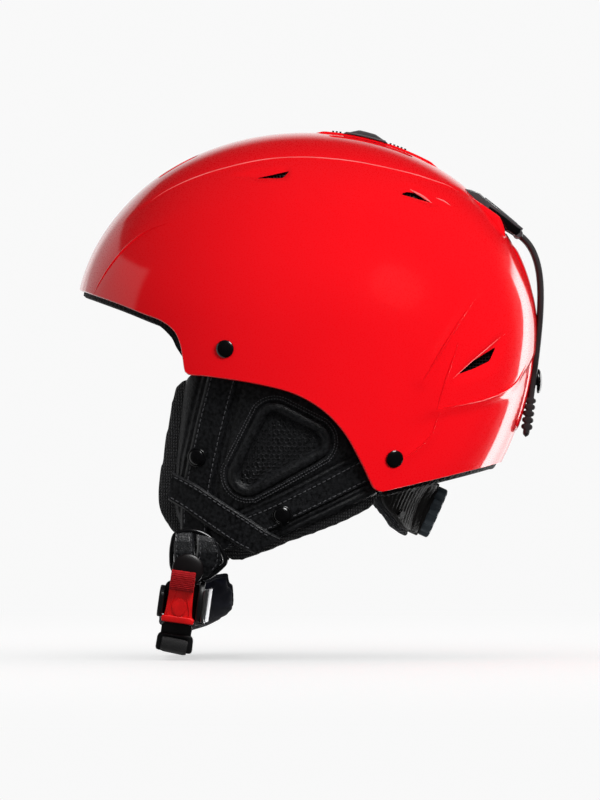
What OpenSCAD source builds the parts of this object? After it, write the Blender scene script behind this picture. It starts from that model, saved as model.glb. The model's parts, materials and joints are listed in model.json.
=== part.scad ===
// Ski helmet: hard shell over a foam liner, with a crown vent slider, a goggle strap retainer,
// a rear dial fit system, padded ear covers and a chin strap with a ratchet buckle.
// Millimetres. Front is -Y, the wearer's left is +X, +Z is up.
// The origin is on the symmetry plane, at mid-length, level with the rear corners of the side rim.

/* [Shell] */
// Half of the shell's length, front to rear
shell_half_len = 140; // [138:0.5:142]
// Half of the shell's width
shell_half_w = 108; // [106:0.5:110]
// Height of the crown above the widest level
crown_h = 117; // [115:0.5:118]
// Thickness of the hard shell
shell_t = 2.5; // [2:0.1:2.6]
// Distance that the foam liner shows below the shell's rim
liner_drop = 3; // [2:0.5:3]

/* [Liner] */
// Half-width of the head cavity
cavity_half_w = 80; // [78:0.5:82]
// Half-length of the head cavity
cavity_half_len = 107; // [105:0.5:109]
// Height of the head cavity above the widest level
cavity_h = 92; // [90:0.5:94]
// Thickness of the comfort pads
pad_t = 6; // [4:0.5:7]

/* [Fit system] */
// Radius of the fit band around the head
band_r = 69; // [68:0.5:70]
// Diameter of the fit dial
dial_d = 32; // [28:1:34]
// Downward tilt of the fit system, degrees
fit_tilt = 24; // [22:1:26]

/* [Ear covers] */
// Distance of the ear cover's outer face from the symmetry plane
ear_x = 98; // [97:0.5:99]
// Inward lean of the ear covers, degrees
ear_lean = 8; // [7:0.5:9]
// Thickness of the lining behind the ear panel
fleece_t = 9; // [7:0.5:10]

/* [Chin strap] */
// Forward tilt of the hanging chin loop, degrees
chin_tilt = 12; // [10:1:14]
// Inward lean of the buckle, degrees
buckle_lean = 12; // [10:1:13]
// Width of the webbing
webbing_w = 20; // [16:1:20]

/* [Hidden] */

$fn = 48;
level_z = 101;      // level of the widest section
side_drop = 230;    // how slowly the sides draw in below that level
end_drop = 162;     // the same for the front and rear ends
gap = 0.5;          // clearance between neighbouring pieces
rivets = [[-47.6, 86], [53.4, 20.3]];   // y and z of the rivets on each side
rivet_r = 5;
hinge_y = 130;      // pivot of the goggle strap
hinge_z = 156.5;
stud_z = 67;
fit_c = [0, 5, 19.7];   // centre of the fit band's circle
pinion_r = 2.9;
ear_r = 170;        // plan radius of the ear covers
ear_top = 60;
chin_c = [0, -65, -36]; // pivot line of the chin loop
ring_x = 78;        // distance of the strap rings from the symmetry plane
pin_s = 41;         // distance of the lever pin down the buckle from the pivot line
buckle_w = 27;      // width of the buckle between its outer walls
rack_w = 16;        // width of the ratchet rack
pin_x = 4.2;        // distance of the lever pin out from the strap's plane
track_w = 12;
track_ends = [7, 80];   // where the slider track starts and stops, as y

// Half-size of the dome's section at height z, for a semi-axis a, crown height h and drop d
function half_size(z, a, h, d) = a * sqrt(max(0, 1 - pow((z - level_z) / (z > level_z ? h : d), 2)));
function shell_w(z) = half_size(z, shell_half_w, crown_h, side_drop);
function shell_l(z) = half_size(z, shell_half_len, crown_h, end_drop);
// Distance of the shell's side from the symmetry plane at a side-view point
function shell_x(y, z) = shell_w(z) * sqrt(1 - pow(y / shell_l(z), 2));
function shell_normal(y, z) = [1, shell_x(y - 0.5, z) - shell_x(y + 0.5, z),
    shell_x(y, z - 0.5) - shell_x(y, z + 0.5)];
// Height of the crown line above the origin at y
function crown_z(y) = level_z + crown_h * sqrt(1 - pow(y / shell_half_len, 2));

// Circle through the ends and the middle of the slider track
track_mid = (track_ends[0] + track_ends[1]) / 2;
track_pts = [for (y = [track_ends[0], track_mid, track_ends[1]]) [y, crown_z(y)]];
function bisector(p, q) = [2 * (q[0] - p[0]), 2 * (q[1] - p[1]), q * q - p * p];
track_b1 = bisector(track_pts[0], track_pts[1]);
track_b2 = bisector(track_pts[1], track_pts[2]);
track_det = track_b1[0] * track_b2[1] - track_b2[0] * track_b1[1];
track_cy = (track_b1[2] * track_b2[1] - track_b2[2] * track_b1[1]) / track_det;
track_cz = (track_b1[0] * track_b2[2] - track_b2[0] * track_b1[2]) / track_det;
track_r = norm([track_pts[0][0] - track_cy, track_pts[0][1] - track_cz]);
function track_angle(y) = acos((y - track_cy) / track_r);

// ---------- shared shapes ----------

// Closed dome with semi-axes w, l and h, n points around and m rings up the crown
module dome(w, l, h, n = 60, m = 10, low = -20) {
    lows = [for (z = [low:(level_z - low) / 6:level_z - 0.01]) z];
    highs = [for (k = [0:m - 1]) level_z + h * sin(90 * k / m)];
    zs = concat(lows, highs);
    rings = [for (z = zs, i = [0:n - 1])
        [half_size(z, w, h, side_drop) * cos(360 * i / n),
            half_size(z, l, h, end_drop) * sin(360 * i / n), z]];
    top = len(rings);
    sides = [for (k = [0:len(zs) - 2], i = [0:n - 1])
        [k * n + i, (k + 1) * n + i, (k + 1) * n + (i + 1) % n, k * n + (i + 1) % n]];
    fan = [for (i = [0:n - 1]) [top - n + i, top, top - n + (i + 1) % n]];
    polyhedron(concat(rings, [[0, 0, level_z + h]]), concat([[for (i = [0:n - 1]) i]], sides, fan));
}

// Outline in the side view, as y and z, extruded from x0 to x1
module side_plate(x0, x1) {
    translate([x0, 0, 0])
        rotate([90, 0, 90])
            linear_extrude(x1 - x0)
                children();
}

// Everything below the shell's rim in the side view
module below_rim(drop) {
    side_plate(-150, 150)
        offset(r = 4 - drop, $fn = 24)
            offset(delta = -4)
                polygon([[-170, 134], [-137, 121.5], [-118, 114.7], [-97, 107.4], [-80, 98],
                    [-75.5, 90], [-72.5, 71.5], [-58, 70], [-31.5, 66], [-7.4, 60.4],
                    [10.5, 50], [24, 36], [34.6, 17.3], [41, 3.7], [46, -1.5], [81, 8],
                    [118.3, 17.5], [170, 30], [170, -200], [-170, -200]]);
}

// Room in the liner for the top of the ear covers
module ear_pocket() {
    side_plate(-150, 150)
        polygon([[-85, 40], [-85, 70], [-75, 72], [-74, 80], [-58, 79], [-31, 75], [-3, 70],
            [17, 60], [34, 44], [45, 22], [51, 8], [51, -20], [0, -20]]);
}

// Places children on the left side of the shell, with z out along the surface
module on_side(y, z) {
    n = shell_normal(y, z);
    translate([shell_x(y, z), y, z])
        rotate([0, acos(n[2] / norm(n)), atan2(n[1], n[0])])
            children();
}

module both_sides() {
    children();
    mirror([1, 0, 0])
        children();
}

// Rounded convex cutter through the side, from corner points in the side view
module side_vent(points, r, x0, x1) {
    hull()
        for (p = points)
            translate([x0, p[0], p[1]])
                rotate([0, 90, 0])
                    cylinder(r = r, h = x1 - x0, $fn = 16);
}

// Rounded cutter down through the crown between two plan points
module crown_vent(a, b, r, z0) {
    hull()
        for (p = [a, b])
            translate([p[0], p[1], z0])
                cylinder(r = r, h = 80, $fn = 16);
}

// All the air openings, each made smaller by inset
module vents(inset = 0) {
    both_sides() {
        side_vent([[-29, 191], [-12, 193], [-14, 190]], 1.2 - inset, 35, 110);
        side_vent([[60, 180], [62, 182], [75, 176]], 1.2 - inset, 30, 110);
        side_vent([[94, 72], [114, 86], [110, 79]], 2.2 - inset, 40, 110);
        crown_vent([14, -86], [12, -68], 3 - inset, 150);
        crown_vent([19, 18], [17, 62], 3.5 - inset, 150);
    }
    hull()
        for (x = [-10, 10])
            translate([x, 121, 160])
                rotate([-48, 0, 0])
                    translate([0, 0, -40])
                        cylinder(r = 3.5 - inset, h = 55, $fn = 16);
}

// Part of a ring around the slider track's centre, from y0 to y1 and w wide
module track_sector(r0, r1, w, y0, y1) {
    a1 = track_angle(y0);
    a0 = track_angle(y1);
    translate([-w / 2, track_cy, track_cz])
        rotate([90, 0, 90])
            rotate([0, 0, a0])
                rotate_extrude(angle = a1 - a0, $fn = 180)
                    translate([r0, 0])
                        square([r1 - r0, w]);
}

// ---------- shell and liner ----------

module outer_shell() {
    color("crimson")
        difference() {
            dome(shell_half_w, shell_half_len, crown_h);
            dome(shell_half_w - shell_t, shell_half_len - shell_t, crown_h - shell_t, low = -21);
            below_rim(0);
            vents();
            both_sides()
                for (p = rivets)
                    on_side(p[0], p[1])
                        translate([0, 0, -10])
                            cylinder(r = 2.8, h = 20, $fn = 16);
            translate([0, 0, stud_z])
                rotate([-90, 0, 0])
                    cylinder(r = 2.8, h = 150, $fn = 16);
            track_sector(track_r - 8, track_r + 8, 5, track_ends[0] + 8, track_ends[1] - 8);
        }
}

module eps_liner() {
    off = shell_t + gap;
    color("dimgray")
        difference() {
            dome(shell_half_w - off, shell_half_len - off, crown_h - off);
            dome(cavity_half_w, cavity_half_len, cavity_h, n = 50, m = 9, low = -23);
            below_rim(liner_drop);
            ear_pocket();
            vents();
            both_sides()
                for (p = rivets)
                    on_side(p[0], p[1])
                        translate([0, 0, -40])
                            cylinder(r = 7, h = 50, $fn = 16);
            translate([0, 0, stud_z])
                rotate([-90, 0, 0])
                    cylinder(r = 6, h = 150, $fn = 16);
            track_sector(track_r - 10, track_r + 8, 56, track_ends[0] - 12, track_ends[1] + 12);
        }
}

module vent_mesh() {
    color("black")
        intersection() {
            difference() {
                dome(shell_half_w - 11, shell_half_len - 11, crown_h - 11, n = 48, m = 8);
                dome(shell_half_w - 12, shell_half_len - 12, crown_h - 12, n = 48, m = 8, low = -21);
            }
            vents(0.4);
            side_plate(-150, 150)
                polygon([[-60, 60], [130, 60], [130, 187], [56, 187], [0, 198], [-60, 198]]);
        }
}

module brow_pad() {
    color("black")
        pad_patch()
            side_plate(-60, 60)
                polygon([[-130, 122], [-70, 104], [-70, 128], [-130, 146]]);
}

module crown_pad() {
    color("black")
        pad_patch()
            translate([-22, -55, 150])
                cube([44, 110, 80]);
}

module side_pads() {
    color("black")
        both_sides()
            pad_patch()
                translate([30, -38, 78])
                    cube([80, 76, 50]);
}

// The part of the cavity's lining that a child covers
module pad_patch() {
    o = 1;
    t = pad_t + o;
    intersection() {
        difference() {
            dome(cavity_half_w - o, cavity_half_len - o, cavity_h - o, n = 40, m = 7);
            dome(cavity_half_w - t, cavity_half_len - t, cavity_h - t, n = 40, m = 7, low = -21);
        }
        children();
    }
}

// ---------- crown vent slider ----------

module vent_track() {
    color("crimson")
        difference() {
            track_sector(track_r + 0.6, track_r + 2.6, track_w, track_ends[0], track_ends[1]);
            track_sector(track_r, track_r + 4, 5, track_ends[0] + 8, track_ends[1] - 8);
        }
}

module vent_slider_knob() {
    color("dimgray")
        union() {
            track_sector(track_r + 3, track_r + 5, 14, 24, 49);
            track_sector(track_r + 5, track_r + 7, 10, 27, 44);
            track_sector(track_r - 5.8, track_r + 3, 3.6, 30, 42);
            for (y = [29, 33, 37, 41])
                track_sector(track_r + 7, track_r + 7.7, 9, y, y + 1.6);
        }
}

module vent_shutter() {
    color("black")
        difference() {
            track_sector(track_r - 7.8, track_r - 6.4, 46, 10, 64);
            for (s = [-1, 1])
                translate([s * 19, 0, 0])
                    track_sector(track_r - 9, track_r, 8, 16, 58);
        }
}

// ---------- goggle strap retainer ----------

module goggle_clip_plate() {
    color([0.2, 0.2, 0.21])
        difference() {
            union() {
                side_plate(-17, 17)
                    polygon([[94, 187.6], [97, 189.5], [101, 188.3], [131, 162.5], [132, 158.5],
                        [96, 186.9]]);
                for (x = [-17, 12])
                    translate([x, hinge_y, hinge_z])
                        rotate([0, 90, 0])
                            cylinder(r = 3.5, h = 5);
            }
            side_plate(-12, 12)
                polygon([[122, 150], [122, 190], [140, 190], [140, 150]]);
            translate([-20, hinge_y, hinge_z])
                rotate([0, 90, 0])
                    cylinder(r = 1.55, h = 40);
        }
}

module strap_hinge_pin() {
    color("silver")
        translate([-16, hinge_y, hinge_z])
            rotate([0, 90, 0])
                cylinder(r = 1.5, h = 32);
}

module snap_stud() {
    color("silver")
        translate([0, shell_l(stud_z), stud_z])
            rotate([-90, 0, 0])
                union() {
                    translate([0, 0, -7])
                        cylinder(r = 2.2, h = 9);
                    translate([0, 0, 1])
                        cylinder(r = 4, h = 0.8);
                    translate([0, 0, 2])
                        cylinder(r = 2.6, h = 2.6);
                    translate([0, 0, -8.5])
                        cylinder(r = 5, h = 1.5);
                }
}

// Strap centre line in the side view: a smooth curve hanging from the pivot down to the tail
strap_ctrl = [[hinge_y, hinge_z], [152, 142], [143, 100], [134.6, 33]];
function curve(c, t) = pow(1 - t, 3) * c[0] + 3 * t * pow(1 - t, 2) * c[1] + 3 * t * t * (1 - t) * c[2]
    + pow(t, 3) * c[3];
function across(c, t) = let (d = curve(c, t + 0.01) - curve(c, t - 0.01)) [-d[1], d[0]] / norm(d);
// Point of the strap's side at t, half its thickness from the centre line
function strap_edge(t, half) = curve(strap_ctrl, t) + half * across(strap_ctrl, t);

module goggle_strap() {
    half = 1.75;
    steps = 28;
    stud_y = shell_l(stud_z);
    color([0.24, 0.22, 0.23])
        difference() {
            union() {
                side_plate(-11, 11)
                    polygon(concat(
                        [for (i = [0:steps]) strap_edge(i / steps, half)],
                        [for (i = [steps:-1:0]) strap_edge(i / steps, -half)]));
                translate([-11, hinge_y, hinge_z])
                    rotate([0, 90, 0])
                        cylinder(r = 3.3, h = 22);
                for (t = [0.885, 0.906, 0.927, 0.948, 0.969])
                    translate([-10, curve(strap_ctrl, t)[0], curve(strap_ctrl, t)[1]])
                        rotate([0, 90, 0])
                            cylinder(r = 2.4, h = 20);
            }
            translate([-20, hinge_y, hinge_z])
                rotate([0, 90, 0])
                    cylinder(r = 1.6, h = 40);
            translate([0, stud_y - 2, stud_z])
                rotate([-90, 0, 0])
                    cylinder(r = 4.6, h = 12);
        }
}

module goggle_snap_cap() {
    r = 7.25;
    base = shell_l(stud_z) + 5.6;
    color([0.15, 0.15, 0.16])
        translate([0, base, stud_z])
            rotate([-90, 0, 0])
                rotate_extrude()
                    polygon(concat([[0, 0], [r, 0], [r, 0.8]],
                        [for (a = [20:14:90]) [r * cos(a), 0.6 + 2.4 * sin(a)]]));
}

// ---------- rivets ----------

module shell_rivets() {
    color("black")
        both_sides()
            for (p = rivets)
                on_side(p[0], p[1])
                    union() {
                        translate([0, 0, 0.7])
                            rotate_extrude()
                                polygon(concat([[0, 0], [rivet_r, 0]],
                                    [for (a = [0:15:90]) [rivet_r * cos(a), 0.6 + 1.8 * sin(a)]]));
                        translate([0, 0, -9])
                            cylinder(r = 2.2, h = 10);
                    }
}

module rivet_washers() {
    color("silver")
        both_sides()
            for (p = rivets)
                on_side(p[0], p[1])
                    translate([0, 0, -7])
                        difference() {
                            cylinder(r = 6, h = 1.2);
                            translate([0, 0, -1])
                                cylinder(r = 2.25, h = 4);
                        }
}

// ---------- rear fit system ----------

// Frame of the fit band: z is the band's axis and y points out through the dial
module fit_frame() {
    translate(fit_c)
        rotate([-fit_tilt, 0, 0])
            children();
}

// Part of a ring around the fit band's axis, a0 to a1 degrees from the dial towards +X
module fit_sector(r0, r1, a0, a1, z0, z1) {
    rotate([0, 0, 90 - a1])
        rotate_extrude(angle = a1 - a0, $fn = 120)
            translate([r0, z0])
                square([r1 - r0, z1 - z0]);
}

module dial_housing() {
    color([0.16, 0.16, 0.18])
        fit_frame()
            difference() {
                union() {
                    fit_sector(band_r + 1.6, band_r + 5, -50, 50, -14, 14);
                    rotate([-90, 0, 0])
                        cylinder(r = dial_d / 2 + 1, h = band_r + 4.4);
                }
                cylinder(r = band_r + 1.6, h = 60, center = true, $fn = 120);
                rotate([-90, 0, 0])
                    cylinder(r = 2.05, h = band_r + 20);
                for (s = [-1, 1], z = [-9, 9])
                    fit_screw(s, z)
                        cylinder(r = 1.5, h = 20);
            }
}

// Places children at a screw of the housing, with z out from the band's axis
module fit_screw(s, z) {
    rotate([0, 0, s * 34])
        translate([0, band_r - 3, z])
            rotate([-90, 0, 0])
                children();
}

module housing_screws() {
    color("silver")
        fit_frame()
            for (s = [-1, 1], z = [-9, 9])
                fit_screw(s, z)
                    union() {
                        translate([0, 0, 4.8])
                            cylinder(r = 1.4, h = 4);
                        translate([0, 0, 8.5])
                            cylinder(r = 2.5, h = 1.2);
                    }
}

module neck_pad() {
    color([0.12, 0.12, 0.16])
        fit_frame()
            fit_sector(band_r - 8, band_r - 2.6, -54, 54, -18, 15);
}

module neck_pad_piping() {
    color("navy")
        fit_frame()
            fit_sector(band_r - 6, band_r - 3, -54, 54, -21, -18.4);
}

module fit_dial() {
    color([0.2, 0.26, 0.3])
        fit_frame()
            translate([0, band_r + 6, 0])
                rotate([-90, 0, 0])
                    difference() {
                        union() {
                            cylinder(r = dial_d / 2 - 0.8, h = 6.4, $fn = 96);
                            for (a = [0:15:345])
                                rotate([0, 0, a])
                                    translate([dial_d / 2 - 1, -1.2, 0.6])
                                        cube([1, 2.4, 5.2]);
                        }
                        translate([0, 0, 5])
                            cylinder(r = 9, h = 3);
                        translate([0, 0, -1])
                            cylinder(r = 2, h = 4);
                    }
}

module dial_pinion() {
    color("silver")
        fit_frame()
            translate([0, band_r - 2.2, 0])
                rotate([-90, 0, 0])
                    union() {
                        cylinder(r = pinion_r - 0.5, h = 3.4);
                        for (a = [0:40:320])
                            rotate([0, 0, a])
                                translate([pinion_r - 0.9, -0.35, 0])
                                    cube([0.9, 0.7, 3.4]);
                        cylinder(r = 1.95, h = 10.9);
                    }
}

module fit_band(z0) {
    color("black")
        fit_frame()
            union() {
                fit_sector(band_r - 1.2, band_r, -25, 66, z0, z0 + 4);
                fit_sector(band_r - 1.2, band_r, 65, 112, -7.5, 7.5);
                fit_sector(band_r - 1.2, band_r + 1.6, 108, 112, -6, 6);
            }
}

module fit_band_left() { fit_band(3.4); }

module fit_band_right() {
    mirror([1, 0, 0])
        fit_band(-7.4);
}

// ---------- ear covers ----------

// Frame of the left ear cover: x is out from the cover's face, which curves back from x = 0
module ear_frame() {
    translate([ear_x, 0, ear_top])
        rotate([0, ear_lean, 0])
            translate([0, 0, -ear_top])
                children();
}

// A curved layer of the cover from depth t0 to t1, in a side-view outline
module ear_layer(t0, t1) {
    ear_frame()
        intersection() {
            translate([-ear_r, 0, -120])
                difference() {
                    cylinder(r = ear_r + t1, h = 240, $fn = 180);
                    translate([0, 0, -1])
                        cylinder(r = ear_r + t0, h = 242, $fn = 180);
                }
            side_plate(-60, 20)
                children();
        }
}

module ear_outline(grow = 0) {
    g = grow;
    polygon([[-71.5, 68], [-76 - g, 60], [-80.5 - g, 25], [-85 - g, -7], [-84 - g, -16], [-77 - g, -27 - g],
        [-68, -33 - g], [-42, -43 - g], [-21, -35 - g], [10.5, -22 - g], [38, -10 - g], [46.5, -4],
        [42, 9], [36, 21], [26, 38], [12, 52.5], [-6, 63], [-31, 68.5], [-58, 72]]);
}

module ear_panel() {
    color([0.14, 0.14, 0.15])
        ear_layer(-4, 0)
            ear_outline();
}

module ear_fleece() {
    color([0.11, 0.11, 0.17])
        ear_layer(-4.3 - fleece_t, -4.3)
            ear_outline(4);
}

module ear_panel_left() { ear_panel(); }

module ear_panel_right() {
    mirror([1, 0, 0])
        ear_panel();
}

module ear_fleece_left() { ear_fleece(); }

module ear_fleece_right() {
    mirror([1, 0, 0])
        ear_fleece();
}

// Triangle with rounded corners around the ear opening
module ear_triangle(r) {
    hull()
        for (p = [[-22, 45], [8, 29.5], [-37, 7]])
            translate(p)
                circle(r = r, $fn = 24);
}

module ear_vent_rings() {
    color([0.16, 0.16, 0.17])
        both_sides()
            ear_layer(0.3, 2.6)
                difference() {
                    ear_triangle(8);
                    ear_triangle(3);
                }
}

module ear_vent_meshes() {
    color("black")
        both_sides()
            ear_layer(0.3, 1)
                ear_triangle(2.5);
}

module ear_straps_front() {
    color([0.1, 0.1, 0.1])
        both_sides()
            ear_layer(0.3, 1.5)
                polygon([[-60, 71.5], [-44, 70], [-59, -8], [-60, -31], [-75, -29], [-75, -8]]);
}

module ear_straps_rear() {
    color([0.1, 0.1, 0.1])
        both_sides()
            ear_layer(0.3, 1.5)
                polygon([[33, 19], [39, 5], [-44, -36.5], [-46, -30], [-45, -21.5]]);
}

module ear_cross_bands() {
    color([0.15, 0.15, 0.16])
        both_sides()
            ear_layer(1.8, 3)
                polygon([[-80, 8.5], [-60, -1], [-38, -13.5], [-18, -28], [-30, -37.5], [-48, -27.5],
                    [-66, -16], [-83, -7]]);
}

module ear_snaps() {
    color("black")
        both_sides()
            ear_frame()
                for (p = [[-64.8, 19.2], [-13.7, -14]])
                    ear_snap(p);
}

// A snap button whose base sits on the strap at side-view point p of the curved cover
module ear_snap(p) {
    translate([-ear_r, 0, p[1]])
        rotate([0, 0, asin(p[0] / ear_r)])
            translate([ear_r + 2.3, 0, 0])
                rotate([0, 90, 0])
                    rotate_extrude()
                        polygon([[0, 0], [5.75, 0], [5.75, 0.8], [4.6, 2], [3.6, 1.6], [0, 2.4]]);
}

// ---------- chin strap ----------

// Frame of the hanging chin loop: its origin is on the pivot line
module chin_frame() {
    translate(chin_c)
        rotate([-chin_tilt, 0, 0])
            children();
}

// Frame of the buckle: z runs up the strap and x points out from the cheek
module buckle_frame() {
    chin_frame()
        translate([ring_x + 3, 0, 0])
            rotate([0, buckle_lean, 0])
                children();
}

module strap_rings() {
    color("black")
        chin_frame()
            both_sides()
                translate([ring_x, 0, 0])
                    rotate([0, 90, 0])
                        difference() {
                            union() {
                                cylinder(r = 15.5, h = 3);
                                translate([9, -3, 0])
                                    cylinder(r = 11, h = 3);
                            }
                            translate([0, 0, -1])
                                cylinder(r = 10.5, h = 5);
                        }
}

module ring_webbing() {
    color([0.08, 0.08, 0.09])
        chin_frame()
            both_sides()
                translate([ring_x, 0, 0])
                    rotate([0, 90, 0])
                        translate([0, 0, 0.2])
                            cylinder(r = 9.8, h = 1.8);
}

module strap_cap() {
    color("black")
        chin_frame()
            translate([ring_x + 6.8, -3, -11])
                rotate([0, 90, 0])
                    rotate_extrude()
                        polygon(concat([[0, 0], [9.4, 0]],
                            [for (a = [0:15:90]) [9.4 * cos(a), 1 + 2.2 * sin(a)]]));
}

module buckle_housing() {
    color("black")
        buckle_frame()
            difference() {
                union() {
                    translate([-4, -buckle_w / 2, -46])
                        cube([3.4, buckle_w, 23]);
                    for (y = [-buckle_w / 2, buckle_w / 2 - 3.4])
                        translate([-4, y, -46])
                            cube([11.5, 3.4, 23]);
                }
                translate([pin_x, -20, -pin_s])
                    rotate([-90, 0, 0])
                        cylinder(r = 1.25, h = 40);
            }
}

module buckle_cover() {
    color("silver")
        buckle_frame()
            translate([-0.3, buckle_w / 2 + 0.3, -45])
                cube([6.5, 0.8, 20]);
}

module lever_pin() {
    color("silver")
        buckle_frame()
            translate([pin_x, -buckle_w / 2, -pin_s])
                rotate([-90, 0, 0])
                    cylinder(r = 1.2, h = buckle_w);
}

module lever_spring() {
    color("silver")
        buckle_frame()
            for (y = [8.3, 8.9, 9.5])
                translate([pin_x, y - 0.2, -pin_s])
                    rotate([-90, 0, 0])
                        difference() {
                            cylinder(r = 2.1, h = 0.4);
                            translate([0, 0, -1])
                                cylinder(r = 1.5, h = 3);
                        }
}

module buckle_lever() {
    color("red")
        buckle_frame()
            difference() {
                union() {
                    translate([pin_x, -7.7, -pin_s])
                        rotate([-90, 0, 0])
                            cylinder(r = 2.6, h = 15.4);
                    translate([pin_x + 0.4, -7.7, -pin_s - 4])
                        cube([3.6, 15.4, 19]);
                    translate([pin_x + 0.4, -9.6, -pin_s - 5.5])
                        cube([3.6, 19.2, 3]);
                }
                translate([pin_x, -20, -pin_s])
                    rotate([-90, 0, 0])
                        cylinder(r = 1.27, h = 40);
            }
}

module pull_tab() {
    color("red")
        buckle_frame()
            translate([pin_x + 1.4, -7.5, -pin_s + 15.3])
                cube([1.5, 15, 4.6]);
}

module ratchet_rack() {
    color("black")
        buckle_frame()
            difference() {
                union() {
                    translate([-0.3, -rack_w / 2, -48])
                        cube([1.2, rack_w, 14]);
                    for (z = [-46:2.2:-36])
                        translate([0.5, -rack_w / 2, z])
                            cube([0.7, rack_w, 1]);
                    translate([-0.3, -9.8, -65])
                        cube([1.8, 19.6, 17.5]);
                }
                translate([-3, -8.2, -62])
                    cube([8, 16.4, 9]);
            }
}

// Point of the under-chin loop in the front view, for half-width w, depth d and ends at -top
function loop_point(t, w, d, top) = [w * t, -d + (d - top) * pow(abs(t), 3.2)];

// A strap around the under-chin loop from t0 to t1, th thick, with extra end points
module loop_strap(w, d, top, th, t0, t1, width, end = []) {
    steps = 24;
    outer = [for (i = [0:steps]) loop_point(t0 + (t1 - t0) * i / steps, w, d, top)];
    inner = [for (i = [steps:-1:0]) loop_point(t0 + (t1 - t0) * i / steps, w - th, d - th, top)];
    translate([0, width / 2, 0])
        rotate([90, 0, 0])
            linear_extrude(width)
                polygon(concat(outer, end, inner));
}

module chin_webbing() {
    color([0.08, 0.08, 0.09])
        chin_frame()
            loop_strap(76, 62, 13, 2, -1, 0.5, webbing_w - 4, [[65, -58.2], [65, -56.4]]);
}

module chin_pad() {
    color([0.11, 0.11, 0.18])
        chin_frame()
            translate([0, 4, 0])
                loop_strap(64, 57, 16, 8, -1, 1, 44);
}

outer_shell();
eps_liner();
vent_mesh();
vent_track();
goggle_clip_plate();
strap_hinge_pin();
snap_stud();
shell_rivets();
rivet_washers();
brow_pad();
crown_pad();
side_pads();
vent_slider_knob();
vent_shutter();
goggle_strap();
goggle_snap_cap();
dial_housing();
neck_pad();
neck_pad_piping();
housing_screws();
fit_dial();
dial_pinion();
fit_band_left();
fit_band_right();
ear_panel_left();
ear_panel_right();
ear_fleece_left();
ear_fleece_right();
ear_vent_rings();
ear_vent_meshes();
ear_straps_front();
ear_straps_rear();
ear_cross_bands();
ear_snaps();
strap_rings();
ring_webbing();
strap_cap();
buckle_housing();
buckle_cover();
lever_pin();
lever_spring();
chin_webbing();
chin_pad();
buckle_lever();
pull_tab();
ratchet_rack();
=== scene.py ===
"""Ski helmet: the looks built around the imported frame. Sizes are in millimetres until a mesh is made."""
import json
import math

import bpy
import bmesh
import numpy as np
from mathutils import Matrix, Vector


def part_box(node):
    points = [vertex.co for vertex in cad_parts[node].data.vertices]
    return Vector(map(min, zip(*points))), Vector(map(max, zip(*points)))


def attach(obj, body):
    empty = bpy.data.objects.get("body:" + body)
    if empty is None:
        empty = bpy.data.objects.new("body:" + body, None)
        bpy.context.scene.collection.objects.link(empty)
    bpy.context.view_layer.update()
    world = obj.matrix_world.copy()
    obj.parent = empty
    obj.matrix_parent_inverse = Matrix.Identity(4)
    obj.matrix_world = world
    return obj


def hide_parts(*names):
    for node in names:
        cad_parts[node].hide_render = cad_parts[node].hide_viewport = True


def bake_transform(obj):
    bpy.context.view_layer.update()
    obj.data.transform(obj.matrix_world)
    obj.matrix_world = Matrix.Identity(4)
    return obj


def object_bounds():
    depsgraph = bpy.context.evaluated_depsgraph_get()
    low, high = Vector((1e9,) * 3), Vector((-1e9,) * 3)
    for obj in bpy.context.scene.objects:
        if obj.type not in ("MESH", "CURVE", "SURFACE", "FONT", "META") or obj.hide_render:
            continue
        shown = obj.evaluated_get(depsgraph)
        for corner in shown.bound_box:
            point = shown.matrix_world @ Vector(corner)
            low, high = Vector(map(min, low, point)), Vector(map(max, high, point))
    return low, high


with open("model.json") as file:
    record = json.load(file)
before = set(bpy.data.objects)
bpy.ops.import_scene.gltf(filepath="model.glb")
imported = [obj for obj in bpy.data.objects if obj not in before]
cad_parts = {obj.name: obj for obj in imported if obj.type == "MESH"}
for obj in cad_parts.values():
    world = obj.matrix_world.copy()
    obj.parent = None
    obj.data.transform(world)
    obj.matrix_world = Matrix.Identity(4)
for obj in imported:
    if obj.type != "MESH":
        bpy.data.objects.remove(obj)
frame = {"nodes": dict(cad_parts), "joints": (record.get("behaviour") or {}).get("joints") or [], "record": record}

CAD_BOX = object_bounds()
MM = 0.001


def box_mm(node):
    """A CAD node's low and high corners in millimetres."""
    lo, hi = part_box(node)
    return np.array(lo) / MM, np.array(hi) / MM


# ---------------------------------------------------------------- driving sizes, from the frame

SHELL_HI = box_mm("outer_shell")[1]
HALF_W = SHELL_HI[0]
HALF_L = SHELL_HI[1]
LEVEL = 101.0               # height of the shell's widest section
CROWN = SHELL_HI[2] - LEVEL
SIDE_DROP = 230.0           # how slowly the sides draw in below that level
END_DROP = 162.0            # the same for the two ends
SHELL_T = 2.5

EAR_X, EAR_TOP, EAR_R = 98.0, 60.0, 170.0
EAR_LEAN = math.radians(8)

CHIN_C = np.array([0.0, -65.0, -36.0])
CHIN_TILT = math.radians(-12)
RING_X = 78.0
BUCKLE_LEAN = math.radians(12)
BUCKLE_UPRIGHT = math.radians(4)
PIN_S = 41.0
PIN_X = 4.2

FIT_C = np.array([0.0, 5.0, 19.7])
FIT_TILT = math.radians(-24)

STRAP_HINGE = (130.0, 156.5)
STUD_Z = 67.0


# ---------------------------------------------------------------- mesh helpers

def rot_x(a):
    return np.array(Matrix.Rotation(a, 3, "X"))


def rot_y(a):
    return np.array(Matrix.Rotation(a, 3, "Y"))


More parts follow.
